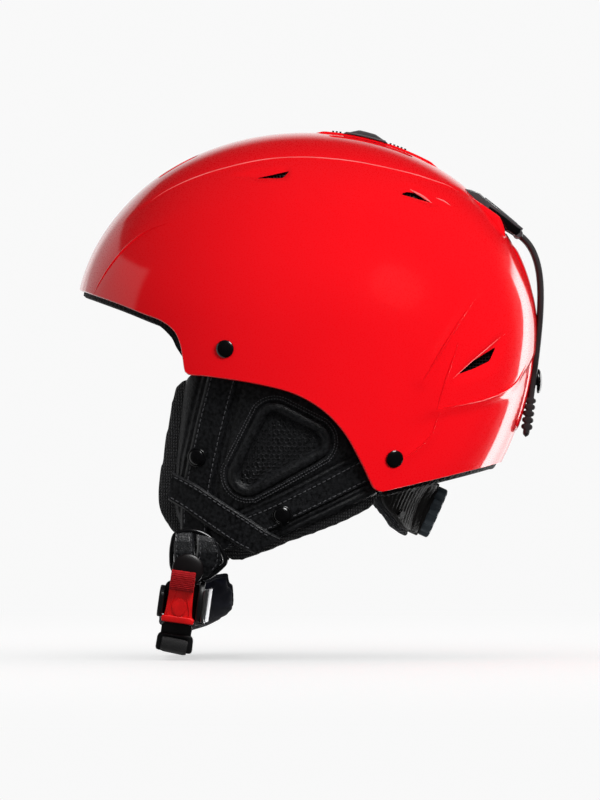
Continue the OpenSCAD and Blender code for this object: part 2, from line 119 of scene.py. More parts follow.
def solid(name, verts, faces):
    """An object from vertices in millimetres, with its normals outward."""
    mesh = bpy.data.meshes.new(name)
    mesh.from_pydata((np.asarray(verts, float) * MM).tolist(), [], faces)
    mesh.validate()
    bm = bmesh.new()
    bm.from_mesh(mesh)
    bmesh.ops.recalc_face_normals(bm, faces=bm.faces)
    bm.to_mesh(mesh)
    bm.free()
    obj = bpy.data.objects.new(name, mesh)
    bpy.context.scene.collection.objects.link(obj)
    return obj


def shade(obj, sharp):
    """Smooth shading but for edges over the sharp angle, in degrees; 0 has no sharp edges."""
    obj.data.shade_smooth()
    if sharp:
        obj.data.set_sharp_from_angle(angle=math.radians(sharp))


def assign(obj, body, replaces):
    """Body and replaced CAD nodes of a piece that has its material."""
    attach(obj, body)
    if replaces:
        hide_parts(*replaces)


def make(name, verts, faces, material, body="helmet", replaces=(), sharp=38.0):
    """A finished piece from vertices in millimetres."""
    obj = solid(name, verts, faces)
    shade(obj, sharp)
    obj.data.materials.append(material)
    assign(obj, body, replaces)
    return obj


def grid_faces(rows, cols, wrap_rows=False, wrap_cols=False, base=0):
    """Quads of a grid whose vertex index is row * cols + col."""
    faces = []
    for r in range(rows if wrap_rows else rows - 1):
        for c in range(cols if wrap_cols else cols - 1):
            c2, row, row2 = (c + 1) % cols, base + r * cols, base + (r + 1) % rows * cols
            faces.append((row + c, row + c2, row2 + c2, row2 + c))
    return faces


def pole_mesh(first, rows, last):
    """A closed piece: a pole, rows of points right round, and the other pole."""
    n = len(rows[0])
    verts = np.vstack([[first], *rows, [last]])
    end = len(verts) - 1
    faces = grid_faces(len(rows), n, wrap_cols=True, base=1)
    faces += [(0, 1 + (k + 1) % n, 1 + k) for k in range(n)]
    faces += [(end, end - n + k, end - n + (k + 1) % n) for k in range(n)]
    return verts, faces


def turned(radius, angle):
    """A point on a circle in the plane."""
    return radius * np.array([math.cos(angle), math.sin(angle)])


class Parts:
    """Collects grids and loops of vertices into one mesh."""

    def __init__(self):
        self.verts, self.faces = [], []

    def add(self, verts, faces):
        base = len(self.verts)
        self.verts.extend(np.asarray(verts, float).reshape(-1, 3).tolist())
        self.faces.extend([tuple(base + i for i in f) for f in faces])

    def bar(self, verts, sides):
        """Rows of points round a bar, closed with a cap at each end."""
        verts = np.asarray(verts, float).reshape(-1, 3)
        last = len(verts) - sides
        faces = grid_faces(len(verts) // sides, sides, wrap_cols=True)
        faces += [tuple(range(sides))[::-1], tuple(range(last, last + sides))]
        self.add(verts, faces)
        return self

    def tube(self, path, radius, sides=10, closed=False):
        """A round tube along a path, its ends closed."""
        path = np.asarray(path, float)
        n = len(path)
        if closed:
            tangents = np.roll(path, -1, 0) - np.roll(path, 1, 0)
        else:
            tangents = np.gradient(path, axis=0)
        tangents /= np.linalg.norm(tangents, axis=1)[:, None]
        radii = np.broadcast_to(radius, n)
        up = np.array([0.0, 0.0, 1.0]) if abs(tangents[0][2]) < 0.9 else np.array([1.0, 0.0, 0.0])
        rings = []
        for i in range(n):
            side = np.cross(tangents[i], up)
            side /= np.linalg.norm(side)
            up = np.cross(side, tangents[i])
            for k in range(sides):
                a = 2 * math.pi * k / sides
                rings.append(path[i] + radii[i] * (math.cos(a) * side + math.sin(a) * up))
        if closed:
            self.add(rings, grid_faces(n, sides, wrap_rows=True, wrap_cols=True))
        else:
            self.bar(rings, sides)

    def lathe(self, profile, sides, place):
        """Turns a profile of (radius, height) about local z and caps its ends."""
        verts = [[*turned(r, 2 * math.pi * k / sides), h] for r, h in profile for k in range(sides)]
        self.bar(place(np.array(verts)), sides)

    def block(self, size, place, round_r=0.6, steps=3):
        """A box of the given size about its centre, with rounded edges."""
        bm = bmesh.new()
        bmesh.ops.create_cube(bm, size=1.0)
        bmesh.ops.scale(bm, vec=Vector(size), verts=bm.verts)
        bmesh.ops.bevel(bm, geom=bm.edges[:], offset=min(round_r, min(size) * 0.49), segments=steps,
                        profile=0.5, affect="EDGES")
        verts = np.array([v.co[:] for v in bm.verts])
        faces = [tuple(v.index for v in f.verts) for f in bm.faces]
        bm.free()
        self.add(place(verts), faces)

    def prism(self, outline, depth, place, round_r=0.5, steps=2, holes=()):
        """An outline in local x and y, extruded to local z = depth, with both rims rounded."""
        bm = bmesh.new()
        loops = [outline] + list(holes)
        edges = []
        for loop in loops:
            vs = [bm.verts.new((p[0], p[1], 0.0)) for p in loop]
            edges += [bm.edges.new((vs[i], vs[(i + 1) % len(vs)])) for i in range(len(vs))]
        bmesh.ops.triangle_fill(bm, use_beauty=True, edges=edges)
        bmesh.ops.dissolve_limit(bm, angle_limit=0.01, verts=bm.verts[:], edges=bm.edges[:])
        faces = bm.faces[:]
        bmesh.ops.recalc_face_normals(bm, faces=faces)
        new = bmesh.ops.extrude_face_region(bm, geom=faces)
        tops = [v for v in new["geom"] if isinstance(v, bmesh.types.BMVert)]
        bmesh.ops.translate(bm, verts=tops, vec=(0, 0, depth))
        bmesh.ops.recalc_face_normals(bm, faces=bm.faces)
        rim = [e for e in bm.edges if len(e.link_faces) == 2
               and e.calc_face_angle(0) > 1.0
               and abs(e.verts[0].co.z - e.verts[1].co.z) < 1e-6]
        if round_r:
            bmesh.ops.bevel(bm, geom=rim, offset=round_r, segments=steps, profile=0.5, affect="EDGES")
        verts = np.array([v.co[:] for v in bm.verts])
        bm.verts.index_update()
        faces = [tuple(v.index for v in f.verts) for f in bm.faces]
        bm.free()
        self.add(place(verts), faces)

    def mirror_x(self):
        """Adds the mirror image of everything so far on the other side of the symmetry plane."""
        base = len(self.verts)
        self.verts += [[-x, y, z] for x, y, z in self.verts]
        self.faces += [tuple(base + i for i in reversed(f)) for f in self.faces]
        return self

    def make(self, name, material, body="helmet", replaces=(), sharp=38.0):
        return make(name, self.verts, self.faces, material, body, replaces, sharp)


def slab(sheet_in, sheet_out):
    """A closed pad from two grids of points, back and front."""
    rows, cols = sheet_in.shape[:2]
    verts = np.vstack([sheet_in.reshape(-1, 3), sheet_out.reshape(-1, 3)])
    n = rows * cols
    faces = grid_faces(rows, cols) + [f[::-1] for f in grid_faces(rows, cols, base=n)]
    rim = [r * cols for r in range(rows)] + [(rows - 1) * cols + c for c in range(1, cols)]
    rim += [r * cols + cols - 1 for r in range(rows - 2, -1, -1)] + list(range(cols - 2, 0, -1))
    faces += [(i, j, n + j, n + i) for i, j in zip(rim, rim[1:] + rim[:1])]
    return verts, faces


def smooth_step(x, lo, hi):
    t = np.clip((x - lo) / (hi - lo), 0, 1)
    return t * t * (3 - 2 * t)


def round_off(x):
    """Quarter-circle rise from 0 at x = 0 to 1 at x = 1 and beyond."""
    return np.sqrt(np.clip(1 - (1 - np.clip(x, 0, 1)) ** 2, 0, 1))


def spline(points, per=12, closed=False):
    """Catmull-Rom curve through the points."""
    p = np.asarray(points, float)
    if closed:
        p = np.vstack([p[-1], p, p[0], p[1]])
    else:
        p = np.vstack([2 * p[0] - p[1], p, 2 * p[-1] - p[-2]])
    out = []
    for i in range(1, len(p) - 2):
        for k in range(per):
            t = k / per
            a, b, c, d = p[i - 1], p[i], p[i + 1], p[i + 2]
            out.append(0.5 * (2 * b + (c - a) * t + (2 * a - 5 * b + 4 * c - d) * t * t
                              + (3 * b - a - 3 * c + d) * t ** 3))
    if not closed:
        out.append(p[-2])
    return np.array(out)


def rounded(points, radius, per=6):
    """Closed outline with each corner rounded by about radius."""
    p = np.asarray(points, float)
    radii = np.broadcast_to(radius, len(p))
    out = []
    for i in range(len(p)):
        a, b, c = p[i - 1], p[i], p[(i + 1) % len(p)]
        la, lc = np.linalg.norm(a - b), np.linalg.norm(c - b)
        ra, rc = min(radii[i], la * 0.48), min(radii[i], lc * 0.48)
        s, e = b + (a - b) / la * ra, b + (c - b) / lc * rc
        for k in range(per + 1):
            t = k / per
            out.append((1 - t) ** 2 * s + 2 * t * (1 - t) * b + t * t * e)
    return np.array(out)


def symmetric(half, radius, per):
    """Rounded outline from its right half, bottom to top, with the left half mirrored."""
    half = np.array(half, float)
    order = [0, *range(len(half)), *range(len(half) - 1, 0, -1)]
    points = half[order]
    points[0, 0] *= -1
    points[len(half) + 1:, 0] *= -1
    return rounded(points, np.broadcast_to(radius, len(half))[order], per)


def travelled(path):
    """Distance run along a path at each of its points."""
    return np.concatenate([[0], np.cumsum(np.linalg.norm(np.diff(path, axis=0), axis=1))])


def side_normals(line):
    """Unit normals of a plane curve, to its right."""
    step = np.gradient(line, axis=0)
    step /= np.linalg.norm(step, axis=1)[:, None]
    return np.stack([step[:, 1], -step[:, 0]], 1)


def dome(radius, base, rise, start, end, count):
    """Profile of a domed cap, between two angles of a quarter turn."""
    return [(radius * math.cos(t), base + rise * math.sin(t)) for t in np.linspace(start, end, count)]


def resample(path, count, closed=False):
    """The path as count points at equal distances."""
    p = np.asarray(path, float)
    if closed:
        p = np.vstack([p, p[:1]])
    d = travelled(p)
    s = np.linspace(0, d[-1], count + 1)[:-1] if closed else np.linspace(0, d[-1], count)
    return np.stack([np.interp(s, d, p[:, k]) for k in range(p.shape[1])], 1)


def path_distance(q, path, closed=False):
    """Distance of points q to a polyline, in the plane."""
    p = np.asarray(path, float)
    if closed:
        p = np.vstack([p, p[:1]])
    best = np.full(len(q), 1e9)
    for a, b in zip(p[:-1], p[1:]):
        ab = b - a
        t = np.clip(((q - a) @ ab) / max(ab @ ab, 1e-12), 0, 1)
        best = np.minimum(best, np.linalg.norm(q - (a + t[:, None] * ab), axis=1))
    return best


def signed_distance(q, ring):
    """Distance to a closed outline, negative inside."""
    p = np.vstack([ring, ring[:1]])
    inside = np.zeros(len(q), bool)
    for (y0, z0), (y1, z1) in zip(p[:-1], p[1:]):
        cross = (z0 > q[:, 1]) != (z1 > q[:, 1])
        at = y0 + (q[:, 1] - z0) / (z1 - z0 + 1e-12) * (y1 - y0)
        inside ^= cross & (q[:, 0] < at)
    return path_distance(q, ring, closed=True) * np.where(inside, -1, 1)


# ---------------------------------------------------------------- materials

def node_math(tree, op, a, b):
    """A math node on two sockets or numbers."""
    n = tree.nodes.new("ShaderNodeMath")
    n.operation = op
    for socket, value in zip(n.inputs, (a, b)):
        if isinstance(value, bpy.types.NodeSocket):
            tree.links.new(value, socket)
        else:
            socket.default_value = value
    return n.outputs[0]


class Nodes:
    """A short way to write a node material."""

    def __init__(self, name, color, rough, spec=0.5, metallic=0.0, coat=0.0, sheen=0.0):
        self.mat = bpy.data.materials.new(name)
        self.mat.use_nodes = True
        self.tree = self.mat.node_tree
        self.bsdf = self.tree.nodes["Principled BSDF"]
        self.set(self.bsdf, "Base Color", (*color, 1.0))
        self.set(self.bsdf, "Roughness", rough)
        self.set(self.bsdf, "Specular IOR Level", spec)
        self.set(self.bsdf, "Metallic", metallic)
        self.set(self.bsdf, "Coat Weight", coat)
        self.set(self.bsdf, "Coat Roughness", 0.03)
        self.set(self.bsdf, "Sheen Weight", sheen)
        self.coords = self.tree.nodes.new("ShaderNodeTexCoord").outputs["Object"]
        self.height = None

    @staticmethod
    def set(node, key, value):
        node.inputs[key].default_value = value

    def link(self, a, b):
        self.tree.links.new(a, b)

    def node(self, kind, **inputs):
        n = self.tree.nodes.new(kind)
        for key, value in inputs.items():
            key = key.replace("_", " ")
            if isinstance(value, bpy.types.NodeSocket):
                self.link(value, n.inputs[key])
            else:
                n.inputs[key].default_value = value
        return n

    def noise(self, scale, detail=3.0, rough=0.5, distortion=0.0):
        return self.node("ShaderNodeTexNoise", Vector=self.coords, Scale=scale, Detail=detail,
                         Roughness=rough, Distortion=distortion).outputs["Fac"]

    def voronoi(self, scale, feature="F1", randomness=1.0):
        n = self.node("ShaderNodeTexVoronoi", Vector=self.coords, Scale=scale, Randomness=randomness)
        n.feature = feature
        return n.outputs["Distance"]

    def wave(self, scale, direction="X", distortion=0.0, vector=None):
        n = self.node("ShaderNodeTexWave", Vector=vector or self.coords, Scale=scale, Distortion=distortion)
        n.bands_direction = direction
        return n.outputs["Fac"]

    def math(self, op, a, b=0.5):
        return node_math(self.tree, op, a, b)

    def ramp(self, fac, lo, hi, c0, c1):
        n = self.tree.nodes.new("ShaderNodeValToRGB")
        self.link(fac, n.inputs["Fac"])
        n.color_ramp.elements[0].position, n.color_ramp.elements[1].position = lo, hi
        n.color_ramp.elements[0].color, n.color_ramp.elements[1].color = (*c0, 1.0), (*c1, 1.0)
        return n.outputs["Color"]

    def color(self, socket):
        self.link(socket, self.bsdf.inputs["Base Color"])
        return self

    def rough(self, fac, lo, hi):
        n = self.tree.nodes.new("ShaderNodeMapRange")
        self.link(fac, n.inputs["Value"])
        n.inputs["To Min"].default_value, n.inputs["To Max"].default_value = lo, hi
        self.link(n.outputs["Result"], self.bsdf.inputs["Roughness"])
        return self

    def bump(self, height, distance, strength=1.0, coat=False):
        """Adds a bump of the given depth in millimetres on top of any earlier one."""
        n = self.node("ShaderNodeBump", Height=height, Strength=strength, Distance=distance * MM)
        if self.height is not None:
            self.link(self.height, n.inputs["Normal"])
        self.height = n.outputs["Normal"]
        self.link(self.height, self.bsdf.inputs["Normal"])
        if coat:
            self.link(self.height, self.bsdf.inputs["Coat Normal"])
        return self


def shell_material():
    m = Nodes("shell_red", (0.86, 0.003, 0.008), 0.3, spec=0.12, coat=0.9)
    tone = m.noise(9.0, 2.0)
    m.color(m.ramp(tone, 0.3, 0.7, (0.84, 0.0026, 0.0075), (0.89, 0.0034, 0.0088)))
    m.bump(m.noise(260.0, 1.0), 0.0008, 0.5, coat=True)
    specks = m.voronoi(900.0)
    m.rough(specks, 0.24, 0.34)
    return m.mat


def painted_highlight_material():
    """Paler shell red for fine moulded lines, a painted highlight standing in for light caught along their edges.
    """
    m = Nodes("shell_red_painted_highlight", (0.9, 0.20, 0.20), 0.3, spec=0.5, coat=0.6)
    tone = m.noise(40.0, 2.0)
    m.color(m.ramp(tone, 0.3, 0.7, (0.88, 0.12, 0.12), (0.92, 0.26, 0.26)))
    m.bump(m.noise(260.0, 1.0), 0.002, 0.5)
    return m.mat


def foam_material():
    m = Nodes("eps_foam", (0.02, 0.02, 0.022), 0.72, spec=0.35)
    beads = m.voronoi(420.0)
    m.color(m.ramp(beads, 0.05, 0.6, (0.010, 0.0105, 0.0115), (0.0025, 0.0025, 0.003)))
    m.bump(beads, 0.9, 0.9)
    m.bump(m.noise(1500.0, 3.0), 0.15, 0.6)
    return m.mat


def mesh_material():
    m = Nodes("vent_mesh_black", (0.010, 0.010, 0.0108), 0.36, spec=0.6)
    m.bump(m.noise(2500.0, 2.0), 0.08, 0.6)
    m.rough(m.noise(900.0, 2.0), 0.35, 0.65)
    return m.mat


def moulded_material(name, color, rough_lo, rough_hi, grain=0.05, coat=0.0, scale=1400.0, spec=0.5):
    """Moulded plastic with a fine spark-eroded grain and handling wear in its roughness."""
    m = Nodes(name, color, rough_lo, spec=spec, coat=coat)
    m.bump(m.noise(scale, 4.0, 0.65), grain, 0.7)
    m.rough(m.noise(60.0, 4.0), rough_lo, rough_hi)
    dark = tuple(c * 0.85 for c in color)
    light = tuple(min(1.0, c * 1.15 + 0.001) for c in color)
    m.color(m.ramp(m.noise(120.0, 3.0), 0.35, 0.65, dark, light))
    return m.mat


def steel_material():
    m = Nodes("steel", (0.40, 0.40, 0.41), 0.36, metallic=1.0)
    stretched = m.node("ShaderNodeMapping", Vector=m.coords, Scale=(1.0, 30.0, 1.0)).outputs["Vector"]
    brushed = m.node("ShaderNodeTexNoise", Vector=stretched, Scale=300.0, Detail=4.0).outputs["Fac"]
    m.bump(brushed, 0.02, 0.5)
    m.rough(brushed, 0.32, 0.52)
    return m.mat


def rubber_material():
    m = Nodes("strap_rubber", (0.028, 0.025, 0.026), 0.55, spec=0.4)
    m.bump(m.noise(1800.0, 4.0, 0.7), 0.06, 0.8)
    m.rough(m.noise(80.0, 4.0), 0.45, 0.68)
    m.color(m.ramp(m.noise(50.0, 5.0), 0.3, 0.75, (0.022, 0.019, 0.020), (0.036, 0.032, 0.034)))
    return m.mat


def leather_material(name="leatherette", rough=0.42, grain=0.55):
    m = Nodes(name, (0.006, 0.0062, 0.0068), rough, spec=0.4)
    cells = m.voronoi(760.0, "DISTANCE_TO_EDGE")
    wrinkle = m.noise(190.0, 5.0, 0.6, 0.6)
    pores = m.math("MINIMUM", cells, 0.22)
    m.bump(pores, grain, 0.75)
    m.bump(wrinkle, 0.9, 0.35)
    m.rough(wrinkle, rough - 0.1, rough + 0.12)
    grain_tone = m.noise(520.0, 4.0, 0.6)
    m.color(m.ramp(grain_tone, 0.36, 0.64, (0.0035, 0.0037, 0.0042), (0.0185, 0.0192, 0.0212)))
    return m.mat


def knit_material(name, dark, light, pitch=620.0, sheen=0.4, depth=0.7):
    """Knitted fleece: crossed rows of loops under a fuzzy nap."""
    m = Nodes(name, light, 0.85, spec=0.2, sheen=sheen)
    loops = m.math("MULTIPLY", m.wave(pitch, "Y", 3.0), m.wave(pitch * 0.8, "Z", 3.0))
    nap = m.noise(2600.0, 5.0, 0.75)
    mixed = m.math("ADD", loops, m.math("MULTIPLY", nap, 0.55))
    m.bump(mixed, depth, 0.9)
    # painted shade and highlight: colour follows the loop height, darker in the dips and lighter on the raised
    # loops
    m.color(m.ramp(mixed, 0.15, 1.1, dark, light))
    return m.mat


def velour_material():
    m = Nodes("velour_navy", (0.008, 0.009, 0.020), 0.9, spec=0.12, sheen=0.2)
    nap = m.noise(3200.0, 4.0, 0.7)
    brushed = m.noise(90.0, 3.0, 0.5, 0.8)
    m.bump(nap, 0.25, 0.8)
    m.color(m.ramp(brushed, 0.3, 0.7, (0.0045, 0.005, 0.011), (0.014, 0.0155, 0.030)))
    return m.mat


def webbing_material(name, dark, light, pitch=700.0, axis="Z", sheen=0.25):
    """Woven webbing: ribs across the strap with a fine thread noise."""
    m = Nodes(name, light, 0.7, spec=0.3, sheen=sheen)
    ribs = m.wave(pitch, axis)
    thread = m.wave(pitch * 2.3, "Y")
    mixed = m.math("ADD", m.math("MULTIPLY", ribs, 0.75), m.math("MULTIPLY", thread, 0.3))
    m.bump(mixed, 0.35, 0.9)
    m.bump(m.noise(3000.0, 4.0), 0.12, 0.7)
    # painted shade: colour follows the weave height, darker between the ribs and threads
    m.color(m.ramp(mixed, 0.1, 0.9, dark, light))
    return m.mat


def net_material():
    """Spacer knit coloured by how raised it is: painted shade, near black, in the sunken cells between the
    threads, and the knit's own dark grey on the threads.
    """
    m = Nodes("spacer_net", (0.006, 0.006, 0.0066), 0.5, spec=0.4)
    cells = m.tree.nodes.new("ShaderNodeAttribute")
    cells.attribute_name = "raised"
    raised = cells.outputs["Fac"]
    # painted shade: near black in the sunken cells, grey on the raised threads
    m.color(m.ramp(raised, 0.25, 0.95, (0.0003, 0.0003, 0.0004), (0.021, 0.021, 0.023)))
    m.bump(m.noise(2500.0, 2.0), 0.1, 0.7)
    m.rough(raised, 0.7, 0.4)
    return m.mat


def thread_material():
    m = Nodes("stitch_thread", (0.10, 0.10, 0.108), 0.55, spec=0.4)
    m.bump(m.wave(2600.0, "Z", 1.0), 0.1, 0.8)
    return m.mat


RED = shell_material()
# painted highlight: the paler red that the shell's fine edge lines are drawn in
RED_PAINTED_HIGHLIGHT = painted_highlight_material()
FOAM = foam_material()
MESH = mesh_material()
KNOB = moulded_material("knob_grey", (0.075, 0.070, 0.073), 0.42, 0.6, 0.08)
INNER = moulded_material("inner_plastic", (0.009, 0.0095, 0.011), 0.38, 0.6, 0.07)
GLOSS = moulded_material("gloss_dark_plastic", (0.0035, 0.0035, 0.004), 0.14, 0.28, 0.008, coat=0.2)
# painted reflection: the clip's dark gloss plastic gets a grey base colour in place of the backdrop's reflection
CLIP_PAINTED_REFLECTION = moulded_material("clip_painted_reflection_grey", (0.085, 0.085, 0.090), 0.16, 0.3, 0.01, coat=0.4)
STEEL = steel_material()
RUBBER = rubber_material()
LEATHER = leather_material()
FLEECE = knit_material("pad_fabric", (0.002, 0.0023, 0.005), (0.010, 0.0105, 0.020))
PIPING = webbing_material("piping_navy", (0.004, 0.005, 0.013), (0.014, 0.017, 0.036), 900.0, "X")
DIAL = moulded_material("dial_grey", (0.085, 0.108, 0.128), 0.35, 0.52, 0.05)
WEBBING = webbing_material("webbing_black", (0.002, 0.002, 0.0025), (0.008, 0.008, 0.009))
LEVER = moulded_material("lever_red", (0.86, 0.005, 0.006), 0.3, 0.42, 0.02, coat=0.08, spec=0.3)
RED_WEB = webbing_material("webbing_red", (0.20, 0.002, 0.004), (0.78, 0.006, 0.012), 500.0, "Z", 0.0)
THREAD = thread_material()
NET = net_material()
KNIT = knit_material("lining_knit", (0.001, 0.001, 0.0015), (0.014, 0.0145, 0.018), 210.0, 0.2, 1.4)
VELOUR = velour_material()
STRAP_LEATHER = leather_material("strap_leatherette", 0.34, 0.35)
CRADLE = moulded_material("cradle_plastic", (0.018, 0.0165, 0.0160), 0.52, 0.66, 0.05, spec=0.25)
FRAME = moulded_material("buckle_plastic", (0.0095, 0.0095, 0.0105), 0.3, 0.46, 0.03)
CAP = moulded_material("cap_satin", (0.006, 0.004, 0.0045), 0.3, 0.42, 0.02)

# The record's material slots, each with the material of its CAD nodes first and then what else counts as it
SLOTS = {
    "shell_red": (RED, RED_PAINTED_HIGHLIGHT), "eps_foam": (FOAM,), "vent_mesh_black": (MESH, NET), "knob_grey": (KNOB,),
    "inner_plastic": (INNER, CRADLE), "gloss_dark_plastic": (GLOSS, CLIP_PAINTED_REFLECTION, FRAME, CAP), "steel": (STEEL,),
    "strap_rubber": (RUBBER,), "pad_fabric": (FLEECE, KNIT, VELOUR), "piping_navy": (PIPING,),
    "dial_grey": (DIAL,), "leatherette": (LEATHER, STRAP_LEATHER, THREAD), "webbing_black": (WEBBING,),
    "lever_red": (LEVER,), "webbing_red": (RED_WEB,)}
SLOT_OF = {material.name: slot for slot, materials in SLOTS.items() for material in materials}


# ---------------------------------------------------------------- shell surface

def section(z, half_w=HALF_W, half_l=HALF_L, crown=CROWN):
    """Half-width and half-length of a dome's level section at height z: the shell's own by default."""
    q = z - LEVEL
    upper = np.sqrt(np.clip(1 - (q / crown) ** 2, 0, 1))
    side = np.sqrt(np.clip(1 - (q / SIDE_DROP) ** 2, 0, 1))
    end = np.sqrt(np.clip(1 - (q / END_DROP) ** 2, 0, 1))
    return half_w * np.where(q > 0, upper, side), half_l * np.where(q > 0, upper, end)


def height_of(v):
    """Height of meridian parameter v: a sine above the widest level and a straight run below it."""
    return LEVEL + CROWN * np.where(v > 0, np.sin(v), v)


def meridian_of(z):
    """Meridian parameter of a height: height_of turned round."""
    return np.where(z > LEVEL, np.arcsin(np.clip((z - LEVEL) / CROWN, -1, 1)), (z - LEVEL) / CROWN)


def shell_frame(a, v):
    """Points and outward normals of the plain shell at plan angle a and meridian v."""
    z = height_of(v)
    w, l = section(z)
    x, y = w * np.cos(a), l * np.sin(a)
    q = z - LEVEL
    w2, l2 = np.maximum(w, 1e-6) ** 2, np.maximum(l, 1e-6) ** 2
    low = x * x * HALF_W ** 2 / (SIDE_DROP ** 2 * w2 ** 2) + y * y * HALF_L ** 2 / (END_DROP ** 2 * l2 ** 2)
    up = np.stack([x / HALF_W ** 2, y / HALF_L ** 2, q / CROWN ** 2], -1)
    down = np.stack([x / w2, y / l2, q * low], -1)
    n = np.where((q > 0)[..., None], up, down)
    n /= np.linalg.norm(n, axis=-1)[..., None]
    return np.stack([x, y, z], -1), n


# The rim in the side view, front to rear, as y and z. Its two ends lie on the symmetry plane.
RIM_FRONT_Z, RIM_REAR_Z = 123.4, 17.9
RIM = spline([(-134, 121.8), (-114, 114.5), (-98, 108.0), (-86.4, 103.4), (-78.5, 97.2), (-74.7, 89.2),
              (-73, 79.6), (-72.3, 74.5), (-71.3, 72.0), (-68, 70.8), (-58, 70), (-31.5, 66), (-7.4, 60),
              (10.5, 50), (24, 36), (34.6, 17.3), (40.2, 5.5), (42.5, 2.2), (46, 0.9), (50, 1.5),
              (81, 8.6), (105, 14.2), (118.3, 17.5)], 10)
HALF_COLUMNS = 200
OUTER_ROWS, INNER_ROWS, LINER_ROWS = 118, 26, 60


def rim_angles(rim):
    """A side-view rim as plan angle and height, in equal steps from the front centre to the rear centre."""
    y, z = rim[:, 0], rim[:, 1]
    a = np.arcsin(np.clip(y / section(z)[1], -1, 1))
    a = np.concatenate([[-math.pi / 2], a, [math.pi / 2]])
    drop = RIM[0, 1] - z[0]
    z = np.concatenate([[RIM_FRONT_Z - drop], z, [RIM_REAR_Z - drop]])
    fine = resample(np.stack([a * 100, z], 1), 2000)
    a, z = fine[:, 0] / 100, fine[:, 1]
    w, l = section(z)
    points = np.stack([w * np.cos(a), l * np.sin(a), z], 1)
    d = travelled(points)
    s = np.linspace(0, d[-1], HALF_COLUMNS + 1)
    return np.interp(s, d, a), np.interp(s, d, z)


def columns(rim):
    """Rim angle, rim meridian and crown angle of every column, right round the helmet."""
    a, z = rim_angles(rim)
    v = meridian_of(z)
    top = np.linspace(-math.pi / 2, math.pi / 2, HALF_COLUMNS + 1)
    back = slice(HALF_COLUMNS - 1, 0, -1)
    a = np.concatenate([a, math.pi - a[back]])
    v = np.concatenate([v, v[back]])
    top = np.concatenate([top, math.pi - top[back]])
    return a, v, top


RIM_A, RIM_V, TOP_A = columns(RIM)


def shell_grid(rows, drop=0.0, stop=0.995):
    """Plan angle and meridian of a grid that follows the rim at t = 0 and closes on the crown."""
    t = np.linspace(0, stop, rows)[:, None]
    v0 = RIM_V[None, :] - drop / CROWN
    v = v0 + (math.pi / 2 - v0) * t
    a = RIM_A[None, :] + (TOP_A - RIM_A)[None, :] * smooth_step(t, 0, 0.75)
    return a, v


# Half-width of the raised crown panel along the helmet, as pairs of y and x
CROWN_PANEL = np.array([(-118, 32), (-94, 41), (-73, 47), (-52, 51.5), (-40, 53), (1, 55), (21, 55),
                        (49, 51.7), (68, 45), (84, 37), (94, 28), (104, 20)])
# Crease lines of the sides in the side view, as y and z
SOFT_LINE = [(-131, 113), (-107, 147.6), (-91, 159.8), (-71, 169), (-28.7, 172.5), (14.6, 170),
             (44.5, 165), (81, 156)]
REAR_CREASE = [(102.5, 117), (94.2, 105.8), (82, 86.8), (69.5, 66.4)]
REAR_CREASE_2 = [(92, 92), (84, 70), (78, 50)]
WING = [(138, 84), (132.4, 76.5), (124.4, 64.7), (108, 56.7), (78, 50), (62, 44)]
WING_DROP = [(80, 47.5), (74, 33), (60, 20.5), (52, 14)]
# Painted highlight line by the lower rear vent, drawn in the paler edge red
VENT_BROW_HIGHLIGHT = [(88, 68.6), (104, 82), (120.5, 95.8)]


def crease(yz, path, width):
    """1 on a crease line, falling to 0 within its width."""
    return np.exp(-(path_distance(yz, spline(path, 6)) / width) ** 2)


def relief(points):
    """Height of the moulded relief over the plain shell, in millimetres."""
    x, y, z = points[:, 0], points[:, 1], points[:, 2]
    yz = points[:, 1:]
    half = np.interp(y, CROWN_PANEL[:, 0], CROWN_PANEL[:, 1])
    ends = smooth_step(y, -119, -88) * smooth_step(104 - y, 0, 10)
    h = 0.55 * smooth_step(half - np.abs(x), -1.6, 1.6) * ends * (z > LEVEL)
    outer = np.abs(x) > 25
    h += np.where(outer, 0.55 * crease(yz, SOFT_LINE, 7.0) * smooth_step(90 - y, 0, 40), 0)
    rear = smooth_step(y, 40, 70)
    h += np.where(outer, 0.9 * crease(yz, REAR_CREASE, 3.2) * rear, 0)
    h += np.where(outer, 0.6 * crease(yz, REAR_CREASE_2, 2.6) * rear, 0)
    wing = spline(WING, 6)
    above = z - np.interp(y, wing[::-1, 0], wing[::-1, 1])
    shelf = smooth_step(above, -7.0, 0.6) * smooth_step(70 - above, 0, 60) * smooth_step(y, 55, 88)
    h += np.where(outer | (y > 0), 1.7 * shelf, 0) * (z < 150)
    h += np.where(outer, 0.7 * crease(yz, WING_DROP, 3.0) * rear, 0)
    return h


REAR_SLOT, REAR_SLOT_TILT = (121, 160), math.radians(-48)


def rear_slot_place(p):
    """Frame of the rear slot vent, z out through the shell."""
    return p @ rot_x(REAR_SLOT_TILT).T + [0, *REAR_SLOT]


# Vents of the left side as side-view outlines, and how far the surface dishes in around each
FRONT_VENT = [(-29.2, 188.9), (-15.2, 192.0), (-9.2, 193.4), (-13.4, 189.0)]
UPPER_VENT = [(57.6, 179.4), (61.1, 180.9), (67.5, 180.2), (76.8, 174.2)]
LOWER_VENT = [(91.9, 71.0), (100.6, 78.8), (115.0, 87.6), (111.0, 78.9), (102, 74.6)]
DISHES = [([(-46, 191), (-28, 195.5), (-8, 196), (-10, 187.6), (-30, 186.4)], 1.3),
          ([(52, 182.5), (57, 185.5), (68, 184), (84, 173.5), (76, 170.8)], 1.3),
          ([(86, 66.5), (98, 79.5), (120, 97), (115, 77.0), (108, 71)], 2.2)]


def dishes(points):
    """Depth of the dished hollows around the side vents."""
    depth = np.zeros(len(points))
    for outline, amount in DISHES:
        depth += amount * smooth_step(-signed_distance(points[:, 1:], rounded(outline, 3.0)), -0.8, 4.0)
    return np.where(np.abs(points[:, 0]) > 20, depth, 0)


